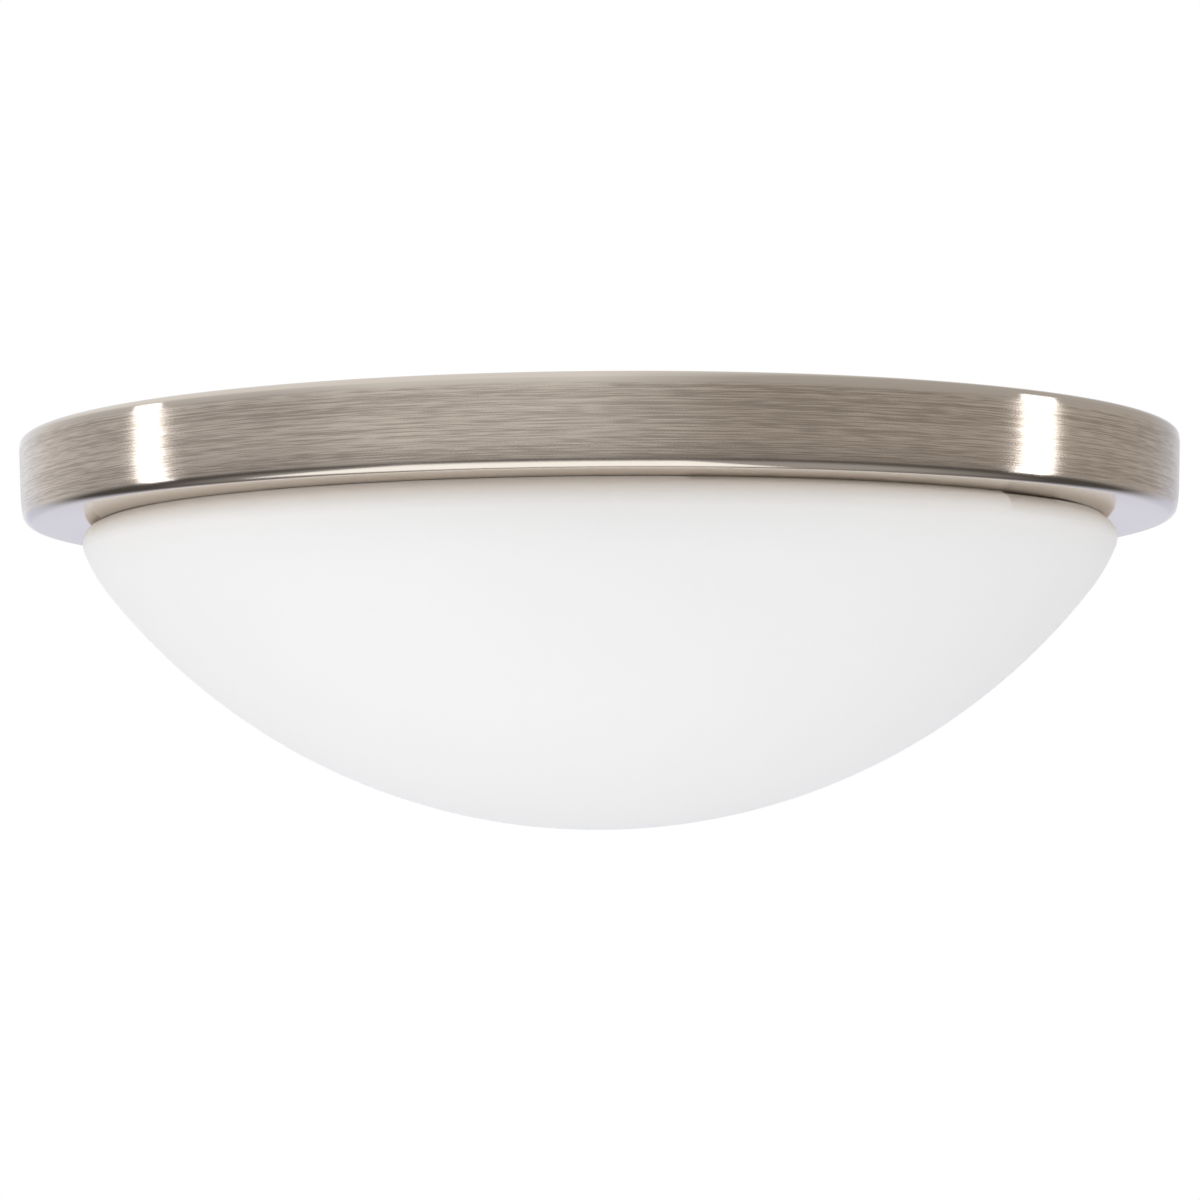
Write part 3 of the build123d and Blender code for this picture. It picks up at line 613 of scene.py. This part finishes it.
# --- LED board ------------------------------------------------------------------------------------------
# Round aluminium board, white solder mask on the side that shines down, with the copper's edges just raised
# under it. Three screws press it to the tray, and two leads push into a white connector.

BOARD_RADIUS = 98.0
BOARD_UNDER = -28.6
# How many chips stand on each circle, and the circle's share of the board's radius
CHIP_CIRCLES = ((24, 0.88), (16, 0.57), (6, 0.27))
LAND_HALF_WIDTH = 4.2
LAND_CUT = 0.4
BARE_RIM = (0.09794, 0.09799)


def solder_mask():
    """White mask. A copper land runs round each circle of chips, cut between every two of them; the board's
    rim is bare aluminium."""
    material, tree, shader, place = new_finish("solder_mask", (0.83, 0.83, 0.82), roughness=0.28)
    calc = partial(calculated, tree)
    x, y = split(tree, place)[:2]
    radius = from_axis(tree, x, y)
    turn = calc("DIVIDE", calc("ARCTAN2", y, x), 2 * pi)
    lands = None
    for count, share in CHIP_CIRCLES:
        middle, half = share * BOARD_RADIUS * MM, LAND_HALF_WIDTH * MM
        off = calc("ABSOLUTE", calc("SUBTRACT", radius, middle))
        on_circle = between(tree, off, 1, 0, half - 0.1 * MM, half + 0.1 * MM)
        pitches = calc("FRACT", calc("ADD", calc("MULTIPLY", turn, count), 1.0))
        along = calc("ABSOLUTE", calc("SUBTRACT", pitches, 0.5))
        cut = LAND_CUT * MM / (2 * pi * middle / count)
        uncut = between(tree, along, 0, 1, cut * 0.8, cut * 1.2)
        land = calc("MULTIPLY", on_circle, uncut)
        lands = land if lands is None else calc("MAXIMUM", lands, land)
    mask = blended(tree, lands, (0.80, 0.80, 0.785), (0.845, 0.845, 0.84))
    rim = between(tree, radius, 0, 1, *BARE_RIM)
    tree.links.new(blended(tree, rim, mask, (0.62, 0.63, 0.64)), shader.inputs["Base Color"])
    height = calc("ADD", lands, calc("MULTIPLY", cloudy(tree, place, 1500), 0.15))
    pressed_in(tree, shader, height, 0.6, 0.00006)
    return material


dress(solder_mask(), "led_board")

# --- LED chips --------------------------------------------------------------------------------------------
# Forty-six white moulded packages soldered to the board, each with a round cup of yellow phosphor gel and
# one cut corner that marks its pole.

CHIP_HALF = 1.5
CHIP_CUT = 0.5
CHIP_CUP_RADIUS = 1.28
chip_outline = [(-CHIP_HALF, -CHIP_HALF), (CHIP_HALF, -CHIP_HALF), (CHIP_HALF, CHIP_HALF - CHIP_CUT),
                (CHIP_HALF - CHIP_CUT, CHIP_HALF), (-CHIP_HALF, CHIP_HALF)]
chip_cup = circle(CHIP_CUP_RADIUS, 20)
chip_rows = [(1, BOARD_UNDER), (1, BOARD_UNDER - 0.6), (0.95, BOARD_UNDER - 0.7)]
chip_case = capped(chip_outline, chip_rows, [(chip_cup, 0.14)])
gel_rows = [(0.9, BOARD_UNDER - 0.5), (0.955, BOARD_UNDER - 0.61), (0.7, BOARD_UNDER - 0.645),
            (0.3, BOARD_UNDER - 0.66)]
chip_gel = capped(chip_cup, gel_rows, [])


def on_chip_circles(shape):
    """A copy at each chip's place."""
    circles = []
    for count, share in CHIP_CIRCLES:
        circles.append(around(shape, share * BOARD_RADIUS, [360 * i / count for i in range(count)]))
    return joined(*circles)


def phosphor():
    """Silicone gel full of yellow phosphor: cloudy and wet looking."""
    material, tree, shader, place = new_finish("phosphor_gel", (0.86, 0.66, 0.16), roughness=0.22, coat=0.4)
    grains = cloudy(tree, place, 2600, detail=2)
    patchy(tree, shader, grains, (0.78, 0.54, 0.10), (0.90, 0.70, 0.20), spread=0.1)
    shader.inputs["Subsurface Weight"].default_value = 0.15
    shader.inputs["Subsurface Radius"].default_value = (1.0, 0.7, 0.2)
    shader.inputs["Subsurface Scale"].default_value = 0.0005
    pressed_in(tree, shader, grains, 0.1, 0.00002)
    return material


fitted(solid("led_chip_cases", on_chip_circles(chip_case)),
       moulded_plastic("chip_white", (0.82, 0.82, 0.80), (0.78, 0.78, 0.75), 0.35, 0.1), "fixture",
       "chip_yellow", "led_chips")
fitted(solid("led_chip_gel", on_chip_circles(chip_gel), crease=50), phosphor(), "fixture", "chip_yellow",
       "led_chips")

# --- Board screws and connector ---------------------------------------------------------------------------
# Small pan-head screws through the board into the tray. The connector is white nylon, soldered to the
# board, with a release slot over each of its two poles.

BOARD_SCREW_CIRCLE = 0.725 * BOARD_RADIUS
BOARD_SCREW_ANGLES = (60, 180, 300)

board_screw = cross_screw(head=(2.8, 1.7), seat=BOARD_UNDER, recess=(1.45, 0.36), body=1.5, end=-26.2,
                          pitch=0.6)
fitted(solid("board_screws_cut", around(board_screw, BOARD_SCREW_CIRCLE, BOARD_SCREW_ANGLES)), screw_nickel,
       "fixture", "screw_steel", "board_screws")
dress(moulded_plastic("connector_nylon", (0.82, 0.815, 0.77), (0.76, 0.755, 0.70), 0.36), "board_connector")

# --- Leads ------------------------------------------------------------------------------------------------
# Stranded copper in soft PVC, 2 mm over the insulation, cut to length in the factory. Mains leads run from
# the terminal block to the driver, the LED leads from the driver through the tray to the connector, and the
# green one through the bushing to the ring terminal.

LEAD_RADIUS = 1.0
LEAD_LEVEL = -13.2


def bent_route(route, share=0.45):
    """Points along a lead, with a wide arc at each bend."""
    route = [Vector(point) for point in route]
    points = [route[0]]
    for before, here, after in zip(route, route[1:], route[2:]):
        reach = share * min((here - before).length, (after - here).length)
        back, on = (before - here).normalized(), (after - here).normalized()
        start, end = here + back * reach, here + on * reach
        turn = (here - before).angle(after - here)
        radius = reach / tan(turn / 2)
        centre = here + (back + on).normalized() * radius / cos(turn / 2)
        steps = max(2, int(degrees(turn) / 6))
        for i in range(steps + 1):
            swing = tan((i / steps - 0.5) * turn) / tan(turn / 2)
            spot = (start + end) / 2 + (end - start) / 2 * swing
            points.append(centre + (spot - centre).normalized() * radius)
    return points + [route[-1]]


def sleeve(route, radius, columns=16):
    """A round tube along a route, closed at both ends."""
    count = len(route)
    side = None
    points = []
    for i, here in enumerate(route):
        ahead = (route[min(i + 1, count - 1)] - route[max(i - 1, 0)]).normalized()
        side = ahead.orthogonal() if side is None else side - ahead * side.dot(ahead)
        side.normalize()
        other = ahead.cross(side)
        for j in range(columns):
            a = 2 * pi * j / columns
            points.append(tuple(here + side * radius * cos(a) + other * radius * sin(a)))
    return points, tube_faces(count, columns) + end_faces(count, columns)


def soft_pvc(name, colour, shade):
    """Extruded insulation: a soft gloss, faint lumps from the strands inside, and handling marks."""
    material, tree, shader, place = new_finish(name, colour, roughness=0.38, specular=0.5)
    patchy(tree, shader, cloudy(tree, place, 90, detail=3), shade, colour)
    uneven(tree, shader, cloudy(tree, place, 300), 0.3, 0.48)
    pressed_in(tree, shader, cloudy(tree, place, 700), 0.2, 0.00008)
    return material


def mains_route(pole, bow, entry):
    """From a pole of the terminal block to the driver, in a loose bow."""
    return [(pole, 35, LEAD_LEVEL), (pole, 15.75, LEAD_LEVEL), (bow, -13.5, -13.95),
            (entry, -26.5, LEAD_LEVEL), (entry, -36, LEAD_LEVEL)]


def board_route(x):
    """From the driver down through the tray to the connector."""
    run = ((-36, LEAD_LEVEL), (-24, LEAD_LEVEL), (-12, -26.2), (-10, -30.4), (4, -30.4))
    return [(x, y, z) for y, z in run]


ground_route = [(-36, 35, LEAD_LEVEL), (-36, 20, LEAD_LEVEL), (-9, 22, -14.2), (-6, 30, -4.0),
                (GROUND_SCREW_X, 20.5, -4.0), (GROUND_SCREW_X, 8.5, -4.0)]
black_pvc = soft_pvc("black_pvc", (0.025, 0.025, 0.026), (0.04, 0.04, 0.04))
white_pvc = soft_pvc("white_pvc", (0.78, 0.78, 0.76), (0.72, 0.72, 0.70))
green_pvc = soft_pvc("green_pvc", (0.03, 0.30, 0.11), (0.02, 0.22, 0.08))
red_pvc = soft_pvc("red_pvc", (0.50, 0.025, 0.02), (0.40, 0.02, 0.015))
for name, finish, slot_name, route in (
    ("live_lead", black_pvc, "lead_black", mains_route(-56, -48, -45)),
    ("neutral_lead", white_pvc, "lead_white", mains_route(-46, -38, -41)),
    ("ground_lead", green_pvc, "lead_green", ground_route),
    ("led_plus_lead", red_pvc, "lead_red", board_route(38)),
    ("led_minus_lead", black_pvc, "lead_black", board_route(42)),
):
    lead = solid(name + "_drawn", sleeve(bent_route(route), LEAD_RADIUS), crease=60)
    fitted(lead, finish, "fixture", slot_name, name)

# --- Glass clips ------------------------------------------------------------------------------------------
# Three stamped spring steel angles welded behind the lip of the opening. Each has a ledge under the glass's
# lug and its end bent up as a stop. Nickel plated with the ring.

dress(plated_steel("clip_steel", (0.62, 0.60, 0.57), (0.50, 0.48, 0.45), 0.3), "glass_clips")

# --- Glass gasket -----------------------------------------------------------------------------------------
# Soft white silicone foam ring that caps the neck of the glass, one leg down its outside. It keeps insects
# and dust out and takes up the play, so the glass doesn't rattle.

GASKET_INSIDE = 130.6
GASKET_OUTSIDE = 135.7
GASKET_LEG_INSIDE = 134.7
GASKET_TOP = -9.6
GASKET_SEAT = -11.9
GASKET_LEG_FOOT = -13.8


def silicone_foam():
    """White foam with fine open cells."""
    colour = (0.74, 0.74, 0.72)
    material, tree, shader, place = new_finish("silicone_foam", colour, roughness=0.8, specular=0.3)
    cells = cloudy(tree, place, 1600, detail=2)
    patchy(tree, shader, cells, (0.64, 0.64, 0.62), (0.76, 0.76, 0.74), spread=0.1)
    shader.inputs["Subsurface Weight"].default_value = 0.2
    shader.inputs["Subsurface Radius"].default_value = (1.0, 1.0, 1.0)
    shader.inputs["Subsurface Scale"].default_value = 0.001
    pressed_in(tree, shader, cells, 0.6, 0.00015)
    return material


gasket_corners = [(GASKET_INSIDE, GASKET_TOP), (GASKET_OUTSIDE, GASKET_TOP),
                  (GASKET_OUTSIDE, GASKET_LEG_FOOT), (GASKET_LEG_INSIDE, GASKET_LEG_FOOT),
                  (GASKET_LEG_INSIDE, GASKET_SEAT), (GASKET_INSIDE, GASKET_SEAT)]
gasket_section = all_rounded(gasket_corners, [0.7, 0.9, 0.4, 0.3, 0, 0.5])
fitted(solid("glass_gasket_cut", turned(gasket_section, 240)), silicone_foam(), "gasket", "gasket_foam",
       "glass_gasket")

# --- Glass bowl: blown opal glass -----------------------------------------------------------------------
# White flashed glass with a satin surface: neck with three moulded lugs, ledge, small corner, shoulder and
# a shallow bowl. Three long shallow ramps on the corner each end in a little step.

GLASS_WALL = 3.5
NECK_RADIUS = 134.4
NECK_RIM = -12.0
NECK_ROOT = 1.5
LEDGE = -23.66
CORNER_CENTRE = (141.75, -29.2)
CORNER_RADIUS = 5.3
CORNER_START = 48.0
SHOULDER_RADIUS = 50.0
SHOULDER_START = 22.8
BOWL_START = 38.7
# Angle at which a ramp ends in its step, and how deep the glass sinks past it. The left step is the lowest.
RAMP_ENDS = {-43.2: 0.55, 76.8: 0.55, 196.8: 0.1}
RAMP_TURN = 50.0
RAMP_HEIGHT = 0.5
SINK_TURN = 20.0
STEP_HALF_TURN = 0.06
STEP_CLEAR_TURN = 0.4
LUG_ANGLES = (-60, 60, 180)
LUG_HALF_TURN = 8.0
LUG_LOW, LUG_HIGH = -17.3, -14.3
LUG_REACH = 3.6
LUG_ROOT = 0.6
LUG_EDGE = 0.9
LUG_END_TURN = 1.5
LUG_STEPS = 32


def arc(centre, radius, start, turn, steps):
    """Points on an arc of a section, in degrees."""
    angles = [radians(start + turn * i / steps) for i in range(steps + 1)]
    return [(centre[0] + radius * cos(a), centre[1] + radius * sin(a)) for a in angles]


def glass_skin(inset):
    """Rim of the neck to the middle of the bowl: the outer face, or a face so far inside it."""
    corner = CORNER_CENTRE
    shoulder_r = corner[0] + (CORNER_RADIUS - SHOULDER_RADIUS) * cos(radians(SHOULDER_START))
    shoulder_z = corner[1] - (CORNER_RADIUS - SHOULDER_RADIUS) * sin(radians(SHOULDER_START))
    bowl_radius = SHOULDER_RADIUS + shoulder_r / cos(radians(BOWL_START))
    bowl_z = shoulder_z + (bowl_radius - SHOULDER_RADIUS) * sin(radians(BOWL_START))
    neck, ledge = NECK_RADIUS - inset, LEDGE - inset
    points = [(neck, NECK_RIM), (neck, ledge + NECK_ROOT), (neck + NECK_ROOT, ledge)]
    slope = radians(CORNER_START)
    radius = CORNER_RADIUS - inset
    rise = (ledge - corner[1] - radius * sin(slope)) * tan(slope)
    points += [(corner[0] + radius * cos(slope) - rise, ledge)]
    points += arc(corner, radius, CORNER_START, -CORNER_START - SHOULDER_START, 20)
    points += arc((shoulder_r, shoulder_z), SHOULDER_RADIUS - inset, -SHOULDER_START,
                  SHOULDER_START - BOWL_START, 10)[1:]
    points += arc((0, bowl_z), bowl_radius - inset, -BOWL_START, BOWL_START - 90, 40)[1:]
    return points


def glass_angles():
    """Even columns, with a close pair at each step so that it stands up sharp."""
    kept = []
    for a in range(360):
        if min(abs((a - end + 180) % 360 - 180) for end in RAMP_ENDS) > STEP_CLEAR_TURN:
            kept.append(a)
    pairs = [end + shift for end in RAMP_ENDS for shift in (-STEP_HALF_TURN, STEP_HALF_TURN)]
    return [radians(a) for a in sorted(kept + [p % 360 for p in pairs])]


def lug_section(reach):
    """Out along the underside and round the edge, then back on top."""
    half = (LUG_HIGH - LUG_LOW) / 2
    edge = min(LUG_EDGE, reach / 2)
    section = [(0.0, -half), (reach - edge, -half)]
    for k in range(1, 7):
        a = radians(15 * k)
        section.append((reach - edge + edge * sin(a), -half + edge * (1 - cos(a))))
    return section + [(out, -up) for out, up in reversed(section)]


def moulded_lug(angle):
    """One of the three lugs that ride up on the clips, rounded at its ends and along its edges."""
    root = NECK_RADIUS - LUG_ROOT
    middle = (LUG_LOW + LUG_HIGH) / 2
    points = []
    for i in range(LUG_STEPS + 1):
        turn = -cos(pi * i / LUG_STEPS) * LUG_HALF_TURN
        left = min(1.0, (LUG_HALF_TURN - abs(turn)) / LUG_END_TURN)
        full = (1 - (1 - left) ** 2) ** 0.5
        section = lug_section(LUG_ROOT + LUG_REACH * full)
        a = radians(angle + turn)
        points += [((root + out) * cos(a), (root + out) * sin(a), middle + up) for out, up in section]
    size = len(section)
    return points, tube_faces(LUG_STEPS + 1, size) + end_faces(LUG_STEPS + 1, size)


def ramped(x, y, z):
    """A point of the glass, pushed out of the corner by a ramp or let in past a step."""
    r = hypot(x, y)
    across, up = r - CORNER_CENTRE[0], z - CORNER_CENTRE[1]
    # Only the corner's outer face above its middle is ramped
    if across < 0.3 or up < 0.5 or hypot(across, up) < CORNER_RADIUS - 0.02:
        return x, y, z
    turn = degrees(atan2(y, x)) % 360
    out = Vector((x / r * across, y / r * across, up)) / hypot(across, up)
    for end, sink in RAMP_ENDS.items():
        behind, ahead = (end - turn) % 360, (turn - end) % 360
        if min(behind / RAMP_TURN, ahead / SINK_TURN) < 1:
            lift = RAMP_HEIGHT * (1 - behind / RAMP_TURN) if behind < 180 else sink * (ahead / SINK_TURN - 1)
            lift *= min(1.0, up / CORNER_RADIUS * 1.2)
            x, y, z = Vector((x, y, z)) + out * lift
            z = min(z, LEDGE)
    return x, y, z


def build_glass():
    """The turned wall with its ramped corner, and the three lugs."""
    section = glass_skin(0) + glass_skin(GLASS_WALL)[::-1]
    points, faces = turned(section, angles=glass_angles())
    wall = [ramped(*point) for point in points], faces
    return solid("opal_bowl", joined(wall, *[moulded_lug(angle) for angle in LUG_ANGLES]), crease=40)


def opal_glass():
    """Milk-white glass with an etched satin surface; light wanders a few millimetres inside its wall."""
    material, tree, shader, place = new_finish("opal_glass", (0.95, 0.95, 0.95), 0.0, 0.5, 0.35)
    haze = cloudy(tree, place, 9, detail=2)
    base = blended(tree, haze, (0.95, 0.95, 0.948), (0.965, 0.965, 0.97))
    tree.links.new(base, shader.inputs["Base Color"])
    shader.inputs["Subsurface Weight"].default_value = 0.28
    shader.inputs["Subsurface Radius"].default_value = (1.0, 1.0, 1.0)
    shader.inputs["Subsurface Scale"].default_value = 0.006
    pressed_in(tree, shader, cloudy(tree, place, 1400), 0.04, 0.00004)
    return material


bowl = build_glass()
bowl.data.materials.append(opal_glass())
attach(bowl, "glass")
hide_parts("glass_dome")

# --- Studio ---------------------------------------------------------------------------------------------
# Pale floor well below the light, a pale room, a tall strip lamp on either side, a soft lamp in front and a
# dim sheet of light below.

FLOOR_DROP = 1.9
FLOOR_HALF = 30.0
FLOOR_FADE = (2.0, 6.0)


def stage_floor():
    """Pale paper that the camera sees nearly white under the light, all white far off."""
    mesh = bpy.data.meshes.new("floor")
    corners = [(-1, -1), (1, -1), (1, 1), (-1, 1)]
    mesh.from_pydata([(x * FLOOR_HALF, y * FLOOR_HALF, -FLOOR_DROP) for x, y in corners], [], [(0, 1, 2, 3)])
    floor = bpy.data.objects.new("floor", mesh)
    bpy.context.scene.collection.objects.link(floor)
    material, tree, shader, place = new_finish("floor_paper", (0.72, 0.72, 0.72), 0.0, 0.9, 0.2)
    seen = tree.nodes.new("ShaderNodeLightPath")
    white = tree.nodes.new("ShaderNodeEmission")
    mix = tree.nodes.new("ShaderNodeMixShader")
    far = tree.nodes.new("ShaderNodeVectorMath")
    far.operation = "LENGTH"
    tree.links.new(place, far.inputs[0])
    share = calculated(tree, "MULTIPLY", seen.outputs["Is Camera Ray"],
                       between(tree, far.outputs["Value"], 0.85, 1.0, *FLOOR_FADE))
    tree.links.new(share, mix.inputs["Fac"])
    tree.links.new(shader.outputs["BSDF"], mix.inputs[1])
    tree.links.new(white.outputs["Emission"], mix.inputs[2])
    tree.links.new(mix.outputs["Shader"], tree.nodes["Material Output"].inputs["Surface"])
    mesh.materials.append(material)
    floor.visible_glossy = False


FRONT_WALL, RIGHT_WALL, LEFT_WALL = (0.80, 0.77, 0.74), (0.535, 0.49, 0.45), (0.57, 0.545, 0.53)
CEILING, RIGHT_CEILING = (1.0, 0.97, 0.94), (0.56, 0.53, 0.495)
DARK_FLOOR, NEAR_FLOOR = (0.09, 0.082, 0.075), (0.46, 0.44, 0.42)
BACKDROP, RIGHT_BACKDROP, LOW_BACKDROP = (0.88, 0.89, 0.93), (0.62, 0.62, 0.65), (0.70, 0.72, 0.84)
EVEN_LIGHT = (0.838, 0.838, 0.838, 1)


def laid(tree, below, value, start, end, colour):
    """A colour over what is there, from none at start to all at end."""
    return blended(tree, between(tree, value, 0, 1, start, end), below, colour)


def mirrored_room(tree):
    """What the metal mirrors: beige walls in front, darker to both sides, a white ceiling, a dark floor that
    is paler straight below, and the pale backdrop behind."""
    x, y, z = split(tree, tree.nodes.new("ShaderNodeTexCoord").outputs["Generated"])
    walls = laid(tree, FRONT_WALL, x, -0.05, 0.40, RIGHT_WALL)
    walls = laid(tree, walls, x, -0.65, -0.90, LEFT_WALL)
    walls = laid(tree, walls, z, 0.10, 0.45, laid(tree, CEILING, x, -0.02, 0.45, RIGHT_CEILING))
    walls = laid(tree, walls, z, -0.14, -0.42, DARK_FLOOR)
    walls = laid(tree, walls, z, -0.62, -0.86, NEAR_FLOOR)
    backdrop = laid(tree, BACKDROP, x, 0.15, 0.45, RIGHT_BACKDROP)
    backdrop = laid(tree, backdrop, z, 0.02, -0.10, LOW_BACKDROP)
    return laid(tree, walls, y, 0.70, 0.90, backdrop)


def room_light():
    """White for the camera, the room for the metal, and even light on everything else."""
    world = bpy.data.worlds.new("room")
    bpy.context.scene.world = world
    world.use_nodes = True
    tree = world.node_tree
    mirrored = tree.nodes["Background"]
    tree.links.new(mirrored_room(tree), mirrored.inputs["Color"])
    even, white = tree.nodes.new("ShaderNodeBackground"), tree.nodes.new("ShaderNodeBackground")
    even.inputs["Color"].default_value = EVEN_LIGHT
    white.inputs["Color"].default_value = (1, 1, 1, 1)
    seen = tree.nodes.new("ShaderNodeLightPath")
    # A ray that has met a matt surface finds the even light, also by way of metal
    direct = calculated(tree, "LESS_THAN", seen.outputs["Diffuse Depth"], 0.5)
    in_metal = calculated(tree, "MULTIPLY", direct, seen.outputs["Is Glossy Ray"])
    glossy, camera = tree.nodes.new("ShaderNodeMixShader"), tree.nodes.new("ShaderNodeMixShader")
    for mix, ray, first, second in (
        (glossy, in_metal, even.outputs["Background"], mirrored.outputs["Background"]),
        (camera, seen.outputs["Is Camera Ray"], glossy.outputs["Shader"], white.outputs["Background"]),
    ):
        tree.links.new(ray, mix.inputs["Fac"])
        tree.links.new(first, mix.inputs[1])
        tree.links.new(second, mix.inputs[2])
    tree.links.new(camera.outputs["Shader"], tree.nodes["World Output"].inputs["Surface"])


def lamp(name, place, aim, size, radiance, on_white, in_metal=True):
    """A rectangular soft lamp. Its share on matt surfaces is set apart from what metal mirrors of it."""
    light = bpy.data.lights.new(name, "AREA")
    light.shape = "RECTANGLE"
    light.size, light.size_y = size
    light.energy = radiance * pi * size[0] * size[1]
    light.diffuse_factor = on_white
    piece = bpy.data.objects.new(name, light)
    piece.visible_glossy = in_metal
    bpy.context.scene.collection.objects.link(piece)
    piece.location = place
    piece.rotation_euler = (Vector(aim) - Vector(place)).to_track_quat("-Z", "Y").to_euler()


CAMERA_BACK = 1.06263
CAMERA_BELOW = 0.1203
CAMERA_PITCH = 4.0888
CAMERA_YAW = -0.0116
CAMERA_ROLL = -0.4582
CAMERA_LENS = 111.446


def place_camera():
    """The photograph's view: from just under the light's lowest point, well back, looking up a little."""
    data = bpy.data.cameras.new("camera")
    data.lens = CAMERA_LENS
    data.sensor_width = 36
    data.clip_start = 0.05
    piece = bpy.data.objects.new("camera", data)
    bpy.context.scene.collection.objects.link(piece)
    pitch, yaw, roll = radians(CAMERA_PITCH), radians(CAMERA_YAW), radians(CAMERA_ROLL)
    ahead = Vector((sin(yaw) * cos(pitch), cos(yaw) * cos(pitch), sin(pitch)))
    level_right = ahead.cross(Vector((0, 0, 1))).normalized()
    level_up = level_right.cross(ahead)
    right = level_right * cos(roll) + level_up * sin(roll)
    up = level_up * cos(roll) - level_right * sin(roll)
    turn = Matrix((right, up, -ahead)).transposed().to_4x4()
    piece.matrix_world = Matrix.Translation((0, -CAMERA_BACK, -CAMERA_BELOW)) @ turn
    bpy.context.scene.camera = piece


stage_floor()
room_light()
place_camera()
lamp("left_strip", place=(-2.098, 0.092, -0.20), aim=(0, 0, -0.20), size=(0.27, 1.10), radiance=4.6,
     on_white=0.46)
lamp("right_strip", place=(2.10, -0.029, -0.20), aim=(0, 0, -0.20), size=(0.34, 1.10), radiance=4.6,
     on_white=0.10)
lamp("low_sheet", place=(-0.265, -0.20, -1.30), aim=(-0.265, -0.20, 0), size=(1.25, 1.5), radiance=1.0,
     on_white=0.02)
lamp("front_softbox", place=(-0.60, -2.1, -0.30), aim=(0, 0, -0.05), size=(1.3, 1.3), radiance=0.95,
     on_white=1.0, in_metal=False)

bpy.context.scene.view_settings.view_transform = "Standard"
